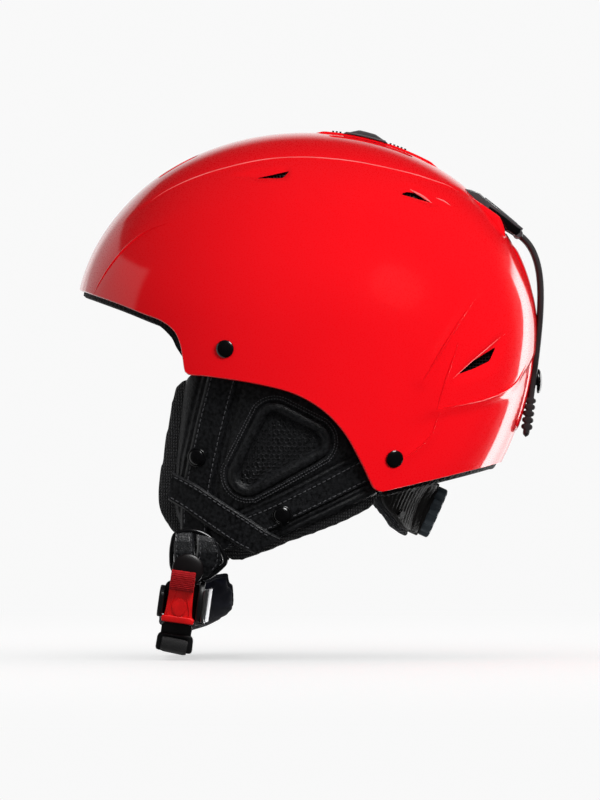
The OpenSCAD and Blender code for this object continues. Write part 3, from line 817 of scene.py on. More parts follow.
def shell_points(a, v, depth=0.0, with_relief=1.0):
    """Shell surface with its relief, depth millimetres in."""
    p, n = shell_frame(a, v)
    shape = p.shape
    flat = p.reshape(-1, 3)
    h = (relief(flat) - dishes(flat)) * with_relief
    return (flat + n.reshape(-1, 3) * (h - depth)[:, None]).reshape(shape), n


def closed_dome(outer, lips, inner):
    """One closed mesh from outer rows, lip rows and inner rows of columns, capped at both poles."""
    return pole_mesh(outer[-1].mean(0), [*outer[::-1], *lips, *inner], inner[-1].mean(0))


def rim_frame(row, normals):
    """Direction that leaves the material at each rim point, within the surface."""
    tangent = np.roll(row, -1, 0) - np.roll(row, 1, 0)
    tangent /= np.linalg.norm(tangent, axis=1)[:, None]
    out = np.cross(tangent, normals)
    out /= np.linalg.norm(out, axis=1)[:, None]
    down = np.where((out[:, 2:] > 0.2), -1, 1)
    return out * down


def side_cutter(outline, x0, x1):
    """A prism through both sides for a vent."""
    ring = rounded(outline, 1.6, 4)
    return Parts().bar([[x, y, z] for x in (x0, x1) for y, z in ring], len(ring)).mirror_x()


def slot_cutter(a, b, radius, place):
    """A rounded slot from plan point a to b, extruded through local z."""
    a, b = np.array(a, float), np.array(b, float)
    angle = math.atan2(b[1] - a[1], b[0] - a[0])
    ring = [b + turned(radius, angle + t) for t in np.linspace(-1.57, 1.57, 9)]
    ring += [a + turned(radius, angle + t) for t in np.linspace(1.57, 4.71, 9)]
    return Parts().bar(place(np.array([[*p, z] for z in (-40.0, 40.0) for p in ring])), len(ring))


def shifted(x, y, z):
    """Placement that only moves."""
    return lambda p: p + [x, y, z]


def vent_cutters():
    """Every air opening as a cutter."""
    cutters = [side_cutter(FRONT_VENT, 34, 110), side_cutter(UPPER_VENT, 30, 110),
               side_cutter(LOWER_VENT, 40, 110)]
    cutters.append(slot_cutter((14, -86), (12, -68), 3.0, shifted(0, 0, 195)).mirror_x())
    cutters.append(slot_cutter((19, 18), (17, 62), 3.5, shifted(0, 0, 205)).mirror_x())
    cutters.append(slot_cutter((-10, 0), (10, 0), 3.5, rear_slot_place))
    return cutters


def carve(obj, cutters):
    """Cuts the openings out of a closed piece."""
    whole = Parts()
    for c in cutters:
        whole.add(c.verts, c.faces)
    tool = solid("cutter", whole.verts, whole.faces)
    mod = obj.modifiers.new("cut", "BOOLEAN")
    mod.operation, mod.solver, mod.object = "DIFFERENCE", "MANIFOLD", tool
    apply_modifiers(obj)
    bpy.data.objects.remove(tool)


def apply_modifiers(obj):
    """Replaces the mesh with its evaluated result and clears the modifiers."""
    bpy.context.view_layer.update()
    graph = bpy.context.evaluated_depsgraph_get()
    mesh = bpy.data.meshes.new_from_object(obj.evaluated_get(graph))
    obj.modifiers.clear()
    obj.data = mesh


def outer_shell():
    p, n = shell_points(*shell_grid(OUTER_ROWS))
    out = rim_frame(p[0], n[0])
    lips = [p[0] - n[0] * d + out * b for d, b in ((0.35, 0.45), (0.95, 0.75), (1.6, 0.75), (2.2, 0.4))]
    inner, _ = shell_points(*shell_grid(INNER_ROWS), SHELL_T, 0.9)
    obj = make("outer_shell_skin", *closed_dome(p, lips, inner), RED, "helmet", ("outer_shell",))
    carve(obj, vent_cutters() + [slot_cutter((0, 16), (0, 71), 2.5, shifted(0, 0, 205))])
    shade(obj, 36)


outer_shell()


def on_shell(side_view):
    """Side-view points put on the left side of the shell."""
    yz = np.asarray(side_view, float)
    _, l = section(yz[:, 1])
    a = np.arcsin(np.clip(yz[:, 0] / l, -1, 1))
    return shell_points(a, meridian_of(yz[:, 1]))[0]


def taper(n, sharp=0.12):
    """Radius share along a bead that thins out at both ends."""
    t = np.linspace(0, 1, n)
    return np.clip(np.minimum(t, 1 - t) / sharp, 0.02, 1) ** 0.6


FRONT_CREASE = [(-127.5, 119), (-123, 127.5), (-116, 138), (-107, 148), (-96, 156.5), (-82, 162)]
# The next three lines are drawn in the paler edge red as painted highlights
REAR_GLINT = [(79, 82), (87, 95), (96.5, 108)]
VENT_LIP_HIGHLIGHT = [(63.5, 183.0), (70, 179.6), (77, 174.9)]
VENT_FACET_HIGHLIGHT = [(79, 177.6), (84, 175.4), (88, 172.8)]


def shell_beads():
    """Fine moulded lines on the shell: the crown panel's edge and the creases of the sides. The crisp ones, the
    crown panel's edge among them, are drawn in the paler edge red as a painted highlight.
    """
    soft, crisp = Parts(), Parts()
    y = np.linspace(-93, 94, 90)
    half = np.interp(y, CROWN_PANEL[:, 0], CROWN_PANEL[:, 1])
    half = np.convolve(np.pad(half, 4, mode="edge"), np.ones(9) / 9, "valid")
    z = LEVEL + CROWN * np.sqrt(1 - (half / HALF_W) ** 2 - (y / HALF_L) ** 2)
    crisp.tube(on_shell(np.stack([y, z], 1)), 0.32 * taper(len(y)), 8)
    for parts, path, radius in ((soft, FRONT_CREASE, 0.8), (soft, REAR_CREASE, 0.9), (crisp, REAR_GLINT, 0.5),
                                (soft, REAR_CREASE_2, 0.6), (soft, WING[1:5], 0.7), (soft, WING_DROP, 0.5),
                                (crisp, VENT_BROW_HIGHLIGHT, 0.35), (crisp, VENT_LIP_HIGHLIGHT, 0.8), (crisp, VENT_FACET_HIGHLIGHT, 0.4)):
        line = resample(spline(path, 10), 50)
        parts.tube(on_shell(line), radius * taper(50, 0.35), 8)
    soft.mirror_x().make("shell_crease_lines", RED, "helmet", (), 60)
    # painted highlights: the crisp lines in the paler edge red
    crisp.mirror_x().make("shell_highlight_lines", RED_PAINTED_HIGHLIGHT, "helmet", (), 60)


def rear_rib():
    """Raised rib down the middle of the back, round at its lower end."""
    z = np.linspace(36, 152, 90)
    q = z - LEVEL
    y = HALF_L * np.sqrt(1 - np.where(q > 0, q / CROWN, q / END_DROP) ** 2)
    low = q * y * y / (HALF_L ** 2 * END_DROP ** 2)
    n = np.stack([y / HALF_L ** 2, np.where(q > 0, q / CROWN ** 2, low)], 1)
    n /= np.linalg.norm(n, axis=1)[:, None]
    rise = 1.2 * round_off((z - 36) / 5) * smooth_step(153 - z, 0, 8)
    width = 18.0 * round_off((z - 35.8) / 8)
    us = np.linspace(-1, 1, 21)
    rows = []
    for k in range(len(z)):
        x = us * width[k]
        lift = rise[k] * (1 - np.abs(us) ** 8) - 0.25
        sag = HALF_L * 0.5 * (x / HALF_W) ** 2
        p = np.array([y[k], z[k]]) + n[k] * (lift - sag)[:, None]
        rows.append(np.stack([x, p[:, 0], p[:, 1]], 1))
    front = np.array(rows)
    back = front - np.array([0, 1.9, 0])
    make("rear_centre_rib", *slab(back, front), RED, "helmet", (), 50)


# ---------------------------------------------------------------- liner and vents

def offset_rim(drop):
    """The side-view rim moved drop(y, z) millimetres out of the shell's material."""
    return RIM + side_normals(RIM) * drop(RIM[:, 0], RIM[:, 1])[:, None]


def liner_drop(y, z):
    """How far the liner shows past the shell's rim: tucked up where the ear covers sit."""
    ears = smooth_step(y, -72.2, -69.5) * smooth_step(49 - y, 0, 5)
    shown = np.where(y < 0, 3.6 + 1.8 * np.exp(-((y + 79) / 8) ** 2), 2.4)
    shown = np.where(y < 0, shown * smooth_step(z, 75, 90), shown)
    return shown + (-10 - shown) * ears


def ellipsoid_points(a, v, w0, l0, h0):
    """A dome like the shell's with other half-sizes."""
    z = LEVEL + np.where(v > 0, h0 * np.sin(np.clip(v, 0, 2)), CROWN * v)
    w, l = section(z, w0, l0, h0)
    return np.stack([w * np.cos(a), l * np.sin(a), z], -1)


CAVITY = (80.0, 107.0, 92.0)    # half-sizes of the head cavity
LINER_GAP = 3.2                 # from the shell's outer surface to the liner's


def liner():
    a, v, top = columns(offset_rim(liner_drop))
    t = np.linspace(0, 0.99, LINER_ROWS)[:, None]
    v = v + (math.pi / 2 - v) * t
    a = a + (top - a) * smooth_step(t, 0, 0.75)
    outer = ellipsoid_points(a, v, HALF_W - LINER_GAP, HALF_L - LINER_GAP, CROWN - LINER_GAP)
    inner = ellipsoid_points(a, v, *CAVITY)
    lips = []
    for s, sag in ((0.04, 0.9), (0.10, 1.3), (0.3, 1.2), (0.6, 1.2), (0.88, 1.3), (0.96, 0.8)):
        lips.append(outer[0] + (inner[0] - outer[0]) * s - [0, 0, sag])
    obj = make("foam_liner", *closed_dome(outer, lips, inner), FOAM, "helmet", ("eps_liner",))
    slider_room = Parts()
    slider_room.block((56, 98, 26), shifted(0, 43.5, 208), 3.0)
    carve(obj, vent_cutters() + [slider_room])
    shade(obj, 36)


def vent_nets():
    """Woven net behind each side vent and crown vent."""
    parts = Parts()

    def net(u0, u1, v0, v1, place, pitch=1.9, radius=0.36):
        for along in (0, 1):
            lo, hi = ((u0, u1), (v0, v1))[along]
            other_lo, other_hi = ((v0, v1), (u0, u1))[along]
            for k in range(int((other_hi - other_lo) / pitch) + 1):
                c = other_lo + k * pitch
                s = np.linspace(lo, hi, 2 * int((hi - lo) / pitch) + 2)
                lift = 0.28 * np.cos(math.pi * ((s - lo) / pitch + k + along))
                uv = np.stack([s, np.full_like(s, c)], 1)
                if along:
                    uv = uv[:, ::-1]
                parts.tube(place(uv, lift), radius, 6)

    def side_place(uv, lift):
        """Side-view points turned by 45 degrees onto the dome below the shell."""
        z = uv[:, 1]
        w, l = section(z)
        x = (w - 5) * np.sqrt(np.clip(1 - (uv[:, 0] / (l - 5)) ** 2, 0, 1))
        return np.stack([x + lift, uv[:, 0], z], 1)

    net(-34, -5, 185, 198, side_place)
    net(52, 82, 170, 186, side_place)
    net(86, 120, 66, 93, side_place)

    def crown_place(uv, lift):
        q = np.clip(1 - (uv[:, 0] / HALF_W) ** 2 - (uv[:, 1] / HALF_L) ** 2, 0, 1)
        return np.stack([uv[:, 0], uv[:, 1], LEVEL + CROWN * np.sqrt(q) - 7 + lift], 1)

    net(8, 18.5, -91, -63, crown_place)
    parts.mirror_x()
    net(-15, 15, -5, 5, lambda uv, lift: rear_slot_place(np.stack([*uv.T, lift - 3], 1)))
    parts.make("vent_nets", MESH, "helmet", ("vent_mesh",), 60)


liner()
vent_nets()
shell_beads()
rear_rib()


# ---------------------------------------------------------------- crown slider

RAIL = (5.5, 82)
MIDDLE = 43.5               # the middle of the rail
TRACK_C = np.array(next(j for j in frame["joints"] if j["name"] == "vent_slide")["pos_m"]) / MM
TRACK_R = math.hypot(MIDDLE - TRACK_C[1], LEVEL + CROWN * math.sqrt(1 - (MIDDLE / HALF_L) ** 2) - TRACK_C[2])


def on_track(points):
    """Points given as x, y along the track and height over the track circle."""
    p = np.asarray(points, float)
    a = np.arccos(np.clip((p[:, 1] - TRACK_C[1]) / TRACK_R, -1, 1))
    r = TRACK_R + p[:, 2]
    return np.stack([p[:, 0], TRACK_C[1] + r * np.cos(a), TRACK_C[2] + r * np.sin(a)], 1)


def track_at(x):
    """Placement along the track, x millimetres to the side."""
    return lambda p: on_track(p + [x, 0, 0])


def swept(parts, ys, half, top, base, place, edge=0.9):
    """A bar with rounded upper edges along y, its half-width and top height given per station."""
    ring = []
    half, top, base = (np.broadcast_to(v, len(ys)) for v in (half, top, base))
    for y, w, h, b in zip(ys, half, top, base):
        e = min(edge, (h - b) * 0.6, w * 0.5)
        side = [(w, b), (w, h - e)]
        side += [(w - e + e * math.cos(t), h - e + e * math.sin(t)) for t in (0.5, 1.05, 1.57)]
        profile = side + [(-x, z) for x, z in side[::-1]]
        ring += [(x, y, z) for x, z in profile]
    parts.bar(place(np.array(ring)), len(profile))


def rail_height(ys):
    """Height of the crown rail, ramped down at both ends."""
    return 0.3 + 1.3 * smooth_step(ys, RAIL[0], 12) * smooth_step(RAIL[1] - ys, 0, 7)


def slider():
    rail, knob, stops = Parts(), Parts(), Parts()
    ys = np.linspace(*RAIL, 70)
    for x in (-4.35, 4.35):
        swept(rail, ys, 1.75, rail_height(ys), -0.6, track_at(x), 0.7)
    for lo, hi in ((RAIL[0], 15), (72, RAIL[1])):
        ys = np.linspace(lo, hi, 14)
        swept(rail, ys, 2.7, rail_height(ys) - 0.15, -0.6, on_track, 0.3)
    rail.make("slider_rail", RED, "helmet", ("vent_track",), 45)

    lo, hi = 23.5, 49.8
    ys = np.linspace(lo, hi, 90)
    skirt = 1.95 + 0.8 * smooth_step(ys, lo, lo + 1.5) * smooth_step(hi - ys, 0, 2)
    for x in (-5.2, 5.2):
        swept(knob, ys, 2.0, skirt, 1.8, track_at(x), 0.5)
    ys = np.linspace(25.5, 48.4, 120)
    hump = np.interp(ys, [25.5, 31.8, 33.0, 41.4, 42.6, 48.4], [2.3, 5.0, 5.2, 4.9, 4.6, 2.4])
    waist = 5.6 - 1.2 * np.exp(-((ys - 36) / 6.0) ** 2)
    swept(knob, ys, waist, np.maximum(hump, 2.9), 2.62, on_track, 0.6)
    swept(knob, np.linspace(30, 42, 8), 1.7, 2.8, -5.8, on_track, 0.2)
    knob.make("slider_knob", KNOB, "vent_slider", ("vent_slider_knob",), 40)

    for y in (17.0, 19.2, 21.4, 51.6, 53.8, 56.0, 58.2, 60.4):
        for x in (-2.45, 2.45):
            swept(stops, np.linspace(y - 0.6, y + 0.6, 5), 0.45, 2.5, -0.5, track_at(x), 0.5)
    stops.make("slider_stops", GLOSS, "helmet", (), 40)


slider()


# ---------------------------------------------------------------- rivets

def on_side(y, z):
    """Placement with z out along the shell's normal at a side-view point of the left side."""
    w, l = section(np.array(z))
    x = w * math.sqrt(1 - (y / l) ** 2)
    _, n = shell_frame(np.array(math.asin(y / l)), np.array((z - LEVEL) / CROWN))
    turn = Vector(n).to_track_quat("Z", "X").to_matrix()
    return lambda p: p @ np.array(turn).T + [float(x), y, z]


RIVETS = ((-47.6, 86.0), (53.4, 20.3))


def rivets():
    parts = Parts()
    for y, z in RIVETS:
        head = [(2.2, -8), (2.2, 0.2), (5.0, 0.2), (5.35, 0.55), (5.35, 1.25)]
        head += dome(5.3, 1.0, 1.6, 0.35, 1.57, 8)[:-1] + [(0.01, 2.6)]
        parts.lathe(head, 40, on_side(y, z))
    parts.mirror_x().make("rivet_heads", GLOSS, "helmet", ("shell_rivets",))


rivets()


# ---------------------------------------------------------------- ear covers

def ear_place(yz, t):
    """Side-view points at height t over the ear cover's curved, leaning face."""
    yz = np.asarray(yz, float)
    t = np.broadcast_to(t, len(yz))
    x = np.sqrt((EAR_R + t) ** 2 - yz[:, 0] ** 2) - EAR_R
    local = np.stack([x, yz[:, 0], yz[:, 1] - EAR_TOP], 1)
    return local @ rot_y(EAR_LEAN).T + [EAR_X, 0, EAR_TOP]


PANEL = [(-70.0, 68), (-72.6, 60), (-76.5, 25), (-79, -7), (-78, -18), (-73, -27), (-66, -31.5),
         (-44, -38), (-21, -31), (10.5, -18), (38, -6), (46, -1), (42, 9), (36, 21), (26, 38),
         (12, 52.5), (-6, 63), (-31, 69), (-58, 72)]
LINING = [(-71.5, 67), (-79, 61), (-85.5, 25), (-90, -7), (-88.5, -17), (-81, -30), (-69, -37),
          (-42, -47), (-21, -39.5), (10.5, -26.5), (38, -14), (47.5, -5), (42, 9), (36, 20), (26, 37),
          (12, 51), (-6, 61.5), (-31, 67), (-58, 70)]
TRIANGLE = np.array([(-34.4, 9.2), (3.6, 30.7), (-18.0, 41.9)], float)
NET_PITCH = 3.1
STRAP_BASE, STRAP_T = 0.1, 1.3      # the straps' underside over the ear surface, and their thickness
BAND_BASE, BAND_T = 1.5, 1.4        # the same for the cross band that lies on them
THREAD_LIFT = 0.05
LEATHER_BACK, NET_BACK = -4.2, -4.0
LINING_FACE, LINING_BACK = -5.0, -12.2
CORNER = 3.7                # radius that the opening's outline adds round the triangle
FRONT_STRAP = ([(-58, 70.5), (-66.8, 35), (-74, -2), (-75, -29)],
               [(-39.5, 69), (-48.5, 35), (-56, -2), (-58.5, -31)])
REAR_STRAP = ([(34, 20.5), (-12, -3.5), (-38, -15.5), (-57, -25)],
              [(39, 5), (0, -13.5), (-22, -24.5), (-52, -38)])
CROSS_BAND = ([(-79.6, 9.5), (-63.5, 1.8), (-48, -7.7), (-35, -15.5), (-23.2, -23.2), (-14.2, -27.9)],
              [(-82.5, -8), (-74, -12.5), (-63.5, -19.5), (-42.5, -33), (-31, -37.5)])


def strap_outline(strap):
    return np.vstack([spline(strap[0], 8), spline(strap[1], 8)[::-1]])


def panel_height(q, ring):
    """Height of the padded leatherette face over the nominal surface."""
    edge = -signed_distance(q, ring)
    d = signed_distance(q, TRIANGLE) - CORNER
    front = signed_distance(q, strap_outline(FRONT_STRAP))
    rear = signed_distance(q, strap_outline(REAR_STRAP))
    seam = np.minimum(front, rear)
    h = -4.0 + 3.6 * round_off(edge / 5.0)
    h += smooth_step(seam, 0.5, 7) * smooth_step(edge, 1, 9)
    h += 0.45 * np.exp(-((seam - 1.7) / 0.75) ** 2) * (edge > 2)
    h -= 0.7 * np.exp(-((seam - 3.4) / 0.9) ** 2) * (edge > 2)
    h += 0.9 * smooth_step(15.5 - d, 0, 6.5) * smooth_step(edge, 0, 6)
    h += 1.5 * np.clip(1 - ((d - 5.6) / 2.7) ** 2, 0, 1) ** 0.6
    h -= 1.0 * np.exp(-((d - 8.9) / 0.55) ** 2)
    h -= 2.0 * smooth_step(3.0 - d, 0, 1.4)
    return h


def polar_sheet(ring, centre, rows):
    """Star-shaped grid of side-view points from the centre out to the ring."""
    s = np.linspace(0, 1, rows)[1:, None, None]
    return centre + (ring[None] - centre) * s


def panel_ring():
    """Outline of the ear cover's leatherette."""
    return resample(rounded(PANEL, 7.0), 420, closed=True)


def ear_pad(ring, centre, rows, height, back):
    """A closed pad over the ear surface: a face at height(points), and a flat back."""
    sheet = polar_sheet(ring, centre, rows)
    flat = np.vstack([[centre], sheet.reshape(-1, 2)])
    face = ear_place(flat, height(flat))
    body = [*face[1:].reshape(*sheet.shape[:2], 3), ear_place(ring, back)]
    return pole_mesh(face[0], body, ear_place([centre], back)[0])


def ear_panel():
    ring = panel_ring()
    return ear_pad(ring, TRIANGLE.mean(0), 130, lambda q: panel_height(q, ring), LEATHER_BACK)


def net_cells(q):
    """How raised the spacer net's threads are, and their ripple, between rows of round cells."""
    u, v = q[:, 0] / NET_PITCH, q[:, 1] / (NET_PITCH * 0.8)
    u2 = u + np.where(np.floor(v) % 2 == 0, 0.0, 0.5)
    cell = np.hypot(u2 - np.floor(u2) - 0.5, (v - np.floor(v) - 0.5) * 0.82)
    ripple = np.cos(2 * math.pi * u) * smooth_step(cell, 0.3, 0.5)
    return smooth_step(cell, 0.24, 0.44), ripple


def net_height(q):
    raised, ripple = net_cells(q)
    return np.concatenate([[-1.0], (-3.1 + 2.9 * raised + 0.25 * ripple)[1:]])


def ear_net():
    """Spacer net in the triangle, and how far each of its vertices is raised."""
    ring, centre, rows = resample(offset_triangle(1.6), 150, closed=True), TRIANGLE.mean(0), 80
    raised, _ = net_cells(polar_sheet(ring, centre, rows).reshape(-1, 2))
    ends = np.ones(1), np.ones(len(ring) + 1)
    return ear_pad(ring, centre, rows, net_height, NET_BACK), np.concatenate([ends[0], raised, ends[1]])


def ear_strip(parts, strap, t0, thick, place=ear_place, stations=70):
    """A flat strap between two edge lines, with a welted edge and rounded sides."""
    left, right = resample(spline(strap[0], 10), stations), resample(spline(strap[1], 10), stations)
    across = 15
    u = np.linspace(0, 1, across)
    e = np.abs(2 * u - 1)
    crown = np.sqrt(np.clip(1 - e ** 14, 0, 1))
    welt = 0.22 * np.exp(-((e - 0.90) / 0.07) ** 2) - 0.18 * np.exp(-((e - 0.74) / 0.06) ** 2)
    h = t0 + thick * crown + welt
    ring = []
    for a, b in zip(left, right):
        line = a + (b - a) * u[:, None]
        ring.append(place(line, h))
        ring.append(place(line[::-1], t0 - 0.05))
    parts.bar(np.vstack(ring), 2 * across)


def stitches(parts, path, t, place=ear_place, length=2.3, space=3.3, radius=0.34, closed=False):
    """Thread stitches that dip in and out along a path."""
    p = resample(spline(path, 10, closed), 400, closed)
    d = travelled(p)
    t = np.broadcast_to(t, len(p))
    for k in range(int((d[-1] - length) / space)):
        s = k * space + 0.4 + np.linspace(0, length, 6)
        q = np.stack([np.interp(s, d, p[:, 0]), np.interp(s, d, p[:, 1])], 1)
        arc = np.array([-0.30, 0.05, 0.16, 0.16, 0.05, -0.30])
        parts.tube(place(q, np.interp(s, d, t) + arc), radius * np.array([0.6, 1, 1, 1, 1, 0.6]), 6)


def inset(strap, amount):
    """The two lines that run a share of the width in from the strap's edges."""
    a, b = resample(spline(strap[0], 10), 60), resample(spline(strap[1], 10), 60)
    return a + (b - a) * amount, b + (a - b) * amount


def ear_threads(parts):
    strap_top, band_top = STRAP_BASE + STRAP_T, BAND_BASE + BAND_T
    for strap, top in ((FRONT_STRAP, strap_top), (REAR_STRAP, strap_top), (CROSS_BAND, band_top)):
        for line in inset(strap, 0.14):
            stitches(parts, line[1:-1], top + THREAD_LIFT)
    for d in (10.6, 12.3):
        path = offset_triangle(d)
        t = panel_height(resample(path, 400, True), panel_ring()) + 0.06
        stitches(parts, path, t, ear_place, 1.1, 1.75, 0.28, True)


def offset_triangle(d):
    """Closed line at distance d outside the triangle."""
    out = []
    n = len(TRIANGLE)
    for i in range(n):
        a, b, c = TRIANGLE[i - 1], TRIANGLE[i], TRIANGLE[(i + 1) % n]
        a0, a1 = math.atan2(a[0] - b[0], b[1] - a[1]), math.atan2(b[0] - c[0], c[1] - b[1])
        if a1 < a0:
            a1 += 2 * math.pi
        reach = d + CORNER
        out += [b + turned(reach, t) for t in np.linspace(a0, a1, 10)]
    return np.array(out)


SNAPS = ((-64.8, 19.2), (-13.7, -14.0))


def snap_buttons(parts):
    for y, z in SNAPS:
        a = math.asin(y / EAR_R)
        turn = rot_y(EAR_LEAN) @ np.array(Matrix.Rotation(a, 3, "Z")) @ rot_y(math.pi / 2)
        centre = ear_place([(y, z)], 1.4)[0]
        profile = [(5.9, 0.0), (6.0, 0.5), (5.85, 1.0), (5.5, 1.3), (5.05, 1.35), (4.85, 1.2)]
        profile += dome(4.7, 1.2, 1.3, 0.1, 1.5, 7)
        parts.lathe([(5.0, -1.2)] + profile, 40, lambda p, c=centre, m=turn: p @ m.T + c)


def ear_covers():
    panel, straps, bands, net, thread, snaps = (Parts() for _ in range(6))
    panel.add(*ear_panel())
    ear_strip(straps, FRONT_STRAP, STRAP_BASE, STRAP_T)
    ear_strip(straps, REAR_STRAP, STRAP_BASE, STRAP_T)
    ear_strip(bands, CROSS_BAND, BAND_BASE, BAND_T)
    net_mesh, raised = ear_net()
    net.add(*net_mesh)
    ear_threads(thread)
    snap_buttons(snaps)
    leather = ("ear_panel_left", "ear_panel_right", "ear_vent_rings")
    for parts, name, material, replaced, sharp in (
            (panel, "leather", LEATHER, leather, 50),
            (straps, "straps", STRAP_LEATHER, ("ear_straps_front", "ear_straps_rear"), 50),
            (bands, "cross_bands", STRAP_LEATHER, ("ear_cross_bands",), 50),
            (net, "net", NET, ("ear_vent_meshes",), 60),
            (thread, "stitching", THREAD, (), 0),
            (snaps, "snaps", GLOSS, ("ear_snaps",), 38)):
        obj = parts.mirror_x().make("ear_cover_" + name, material, "helmet", replaced, sharp)
        # the raised share drives the net's painted shade in its cells
        if parts is net:
            obj.data.attributes.new("raised", "FLOAT", "POINT").data.foreach_set("value", np.tile(raised, 2))


ear_covers()


# ---------------------------------------------------------------- padded fabric by cloth simulation

CLOTH_FRAMES = 20


def puff(obj, voxel, cap, pressure=4.0):
    """Remeshes a slightly small pad, blows it up as cloth and keeps the result as plain mesh."""
    remesh = obj.modifiers.new("remesh", "REMESH")
    remesh.mode, remesh.voxel_size = "VOXEL", voxel * MM
    apply_modifiers(obj)
    mesh = obj.data
    rest = np.zeros(len(mesh.vertices) * 3)
    mesh.vertices.foreach_get("co", rest)
    cloth = obj.modifiers.new("cloth", "CLOTH")
    cloth.settings.quality = 5
    cloth.settings.mass = 0.25
    cloth.settings.use_pressure = True
    cloth.settings.uniform_pressure_force = pressure
    cloth.settings.effector_weights.gravity = 0
    scene = bpy.context.scene
    for f in range(1, CLOTH_FRAMES + 1):
        scene.frame_set(f)
    graph = bpy.context.evaluated_depsgraph_get()
    swollen = bpy.data.meshes.new_from_object(obj.evaluated_get(graph))
    obj.modifiers.clear()
    moved = np.zeros(len(rest))
    swollen.vertices.foreach_get("co", moved)
    scene.frame_set(1)
    delta = (moved - rest).reshape(-1, 3)
    size = np.maximum(np.linalg.norm(delta, axis=1), 1e-9)
    delta *= (np.minimum(size, cap * MM) / size)[:, None]
    mesh.vertices.foreach_set("co", rest + delta.ravel())
    mesh.update()
    sub = obj.modifiers.new("smooth", "SUBSURF")
    sub.levels = sub.render_levels = 1
    apply_modifiers(obj)
    obj.data.shade_smooth()


def mirrored(obj, name, replaced):
    """The same pad on the other side of the symmetry plane."""
    twin = obj.copy()
    twin.data = obj.data.copy()
    twin.name = name
    bpy.context.scene.collection.objects.link(twin)
    twin.data.transform(Matrix.Diagonal((-1, 1, 1, 1)))
    twin.data.flip_normals()
    assign(twin, "helmet", replaced)


def ear_lining():
    ring = resample(rounded(LINING, 8.0), 160, closed=True)
    centre, sides = np.array([-25.0, 12.0]), (LINING_FACE, LINING_BACK)
    sheet = polar_sheet(centre + (ring - centre) * 0.985, centre, 30)
    face, back = (ear_place(sheet.reshape(-1, 2), t).reshape(*sheet.shape[:2], 3) for t in sides)
    poles = [ear_place([centre], t)[0] for t in sides]
    left = make("ear_lining_left", *pole_mesh(poles[0], [*face, *back[::-1]], poles[1]), KNIT, "helmet",
                ("ear_fleece_left",), 0)
    puff(left, 3.2, 1.6)
    mirrored(left, "ear_lining_right", ("ear_fleece_right",))


def dome_pad(name, node, a_range, v_range):
    """A comfort pad that lines the head cavity between two angles."""
    a = np.linspace(*np.radians(a_range), 24)[None, :]
    v = np.linspace(*np.radians(v_range), 24)[:, None]
    aa, vv = np.broadcast_arrays(a, v)
    w, l, h = CAVITY
    back, front = (ellipsoid_points(aa, vv, w - d, l - d, h - d) for d in (1.6, 5.6))
    pad = make(name, *slab(back, front), FLEECE, "helmet", (node,), 0)
    puff(pad, 3.5, 1.5)
    return pad


def comfort_pads():
    dome_pad("brow_padding", "brow_pad", (-125, -55), (12, 29))
    dome_pad("crown_padding", "crown_pad", (-60, 60), (60, 87))
    side = dome_pad("side_padding_left", "side_pads", (-22, 22), (-8, 22))
    mirrored(side, "side_padding_right", ())


ear_lining()
comfort_pads()


# ---------------------------------------------------------------- rear fit system

def fit_place(points):
    """Fit frame: z is the head band's axis and y points out through the dial."""
    return np.asarray(points, float) @ rot_x(FIT_TILT).T + FIT_C


def band_points(angle, r, z):
    """Points on the fit band's circle, with the angle in degrees from the dial towards the left."""
    a = np.radians(np.asarray(angle, float))
    return fit_place(np.stack(np.broadcast_arrays(r * np.sin(a), r * np.cos(a), z), -1).reshape(-1, 3))


CRADLE_BACK, CRADLE_FACE = 70.9, 72.2   # radii of the cradle's plate round the head band's axis
DIAL_BASE = 77.0                        # where the dial starts, on the same axis
NECK_PAD_IN, NECK_PAD_OUT = 62.0, 65.6
PAD_ENDS = 52                           # degrees from the dial to either end of the neck pad


def cradle():
    """The moulded carrier of the dial: a curved plate with raised ribs round the dial."""
    cols, rows = 121, 41
    ang = np.linspace(-50, 50, cols)
    half = 16.5 * np.clip(1 - (np.abs(ang) / 50.5) ** 5, 0, 1) ** 0.5
    half = np.maximum(half * (0.72 + 0.28 * smooth_step(45 - np.abs(ang), 0, 28)), 0.4)
    u = np.linspace(-1, 1, rows)
    z = u[:, None] * half[None, :]
    a = np.broadcast_to(ang, z.shape)
    edge = (1 - np.abs(u))[:, None] * half[None, :]
    edge = np.minimum(edge, (50.3 - np.abs(a)) * 1.2)
    r = CRADLE_FACE + 1.6 * round_off(edge / 2.0)
    away = np.hypot(a * 1.27, z)
    r = r + 2.9 * smooth_step(25 - away, 0, 7)
    grooved = smooth_step(away, 18, 20) * smooth_step(edge, 1, 3)
    r = r + 0.28 * np.cos(2 * math.pi * (away - 19) / 3.4) * grooved
    front = band_points(a, r, z).reshape(rows, cols, 3)
    back = band_points(a, CRADLE_BACK, z).reshape(rows, cols, 3)
    parts = Parts()
    parts.add(*slab(back, front))
    hub = [(17.0, 66.5), (17.2, 73.0), (17.2, 76.3), (16.8, 76.9), (12, 76.9), (4, 76.9)]
    parts.lathe([(2.2, 66.5)] + hub + [(2.2, 76.9)], 72, lambda p: fit_place(p[:, [0, 2, 1]]))
    parts.make("dial_cradle", CRADLE, "fit_cradle", ("dial_housing",), 42)


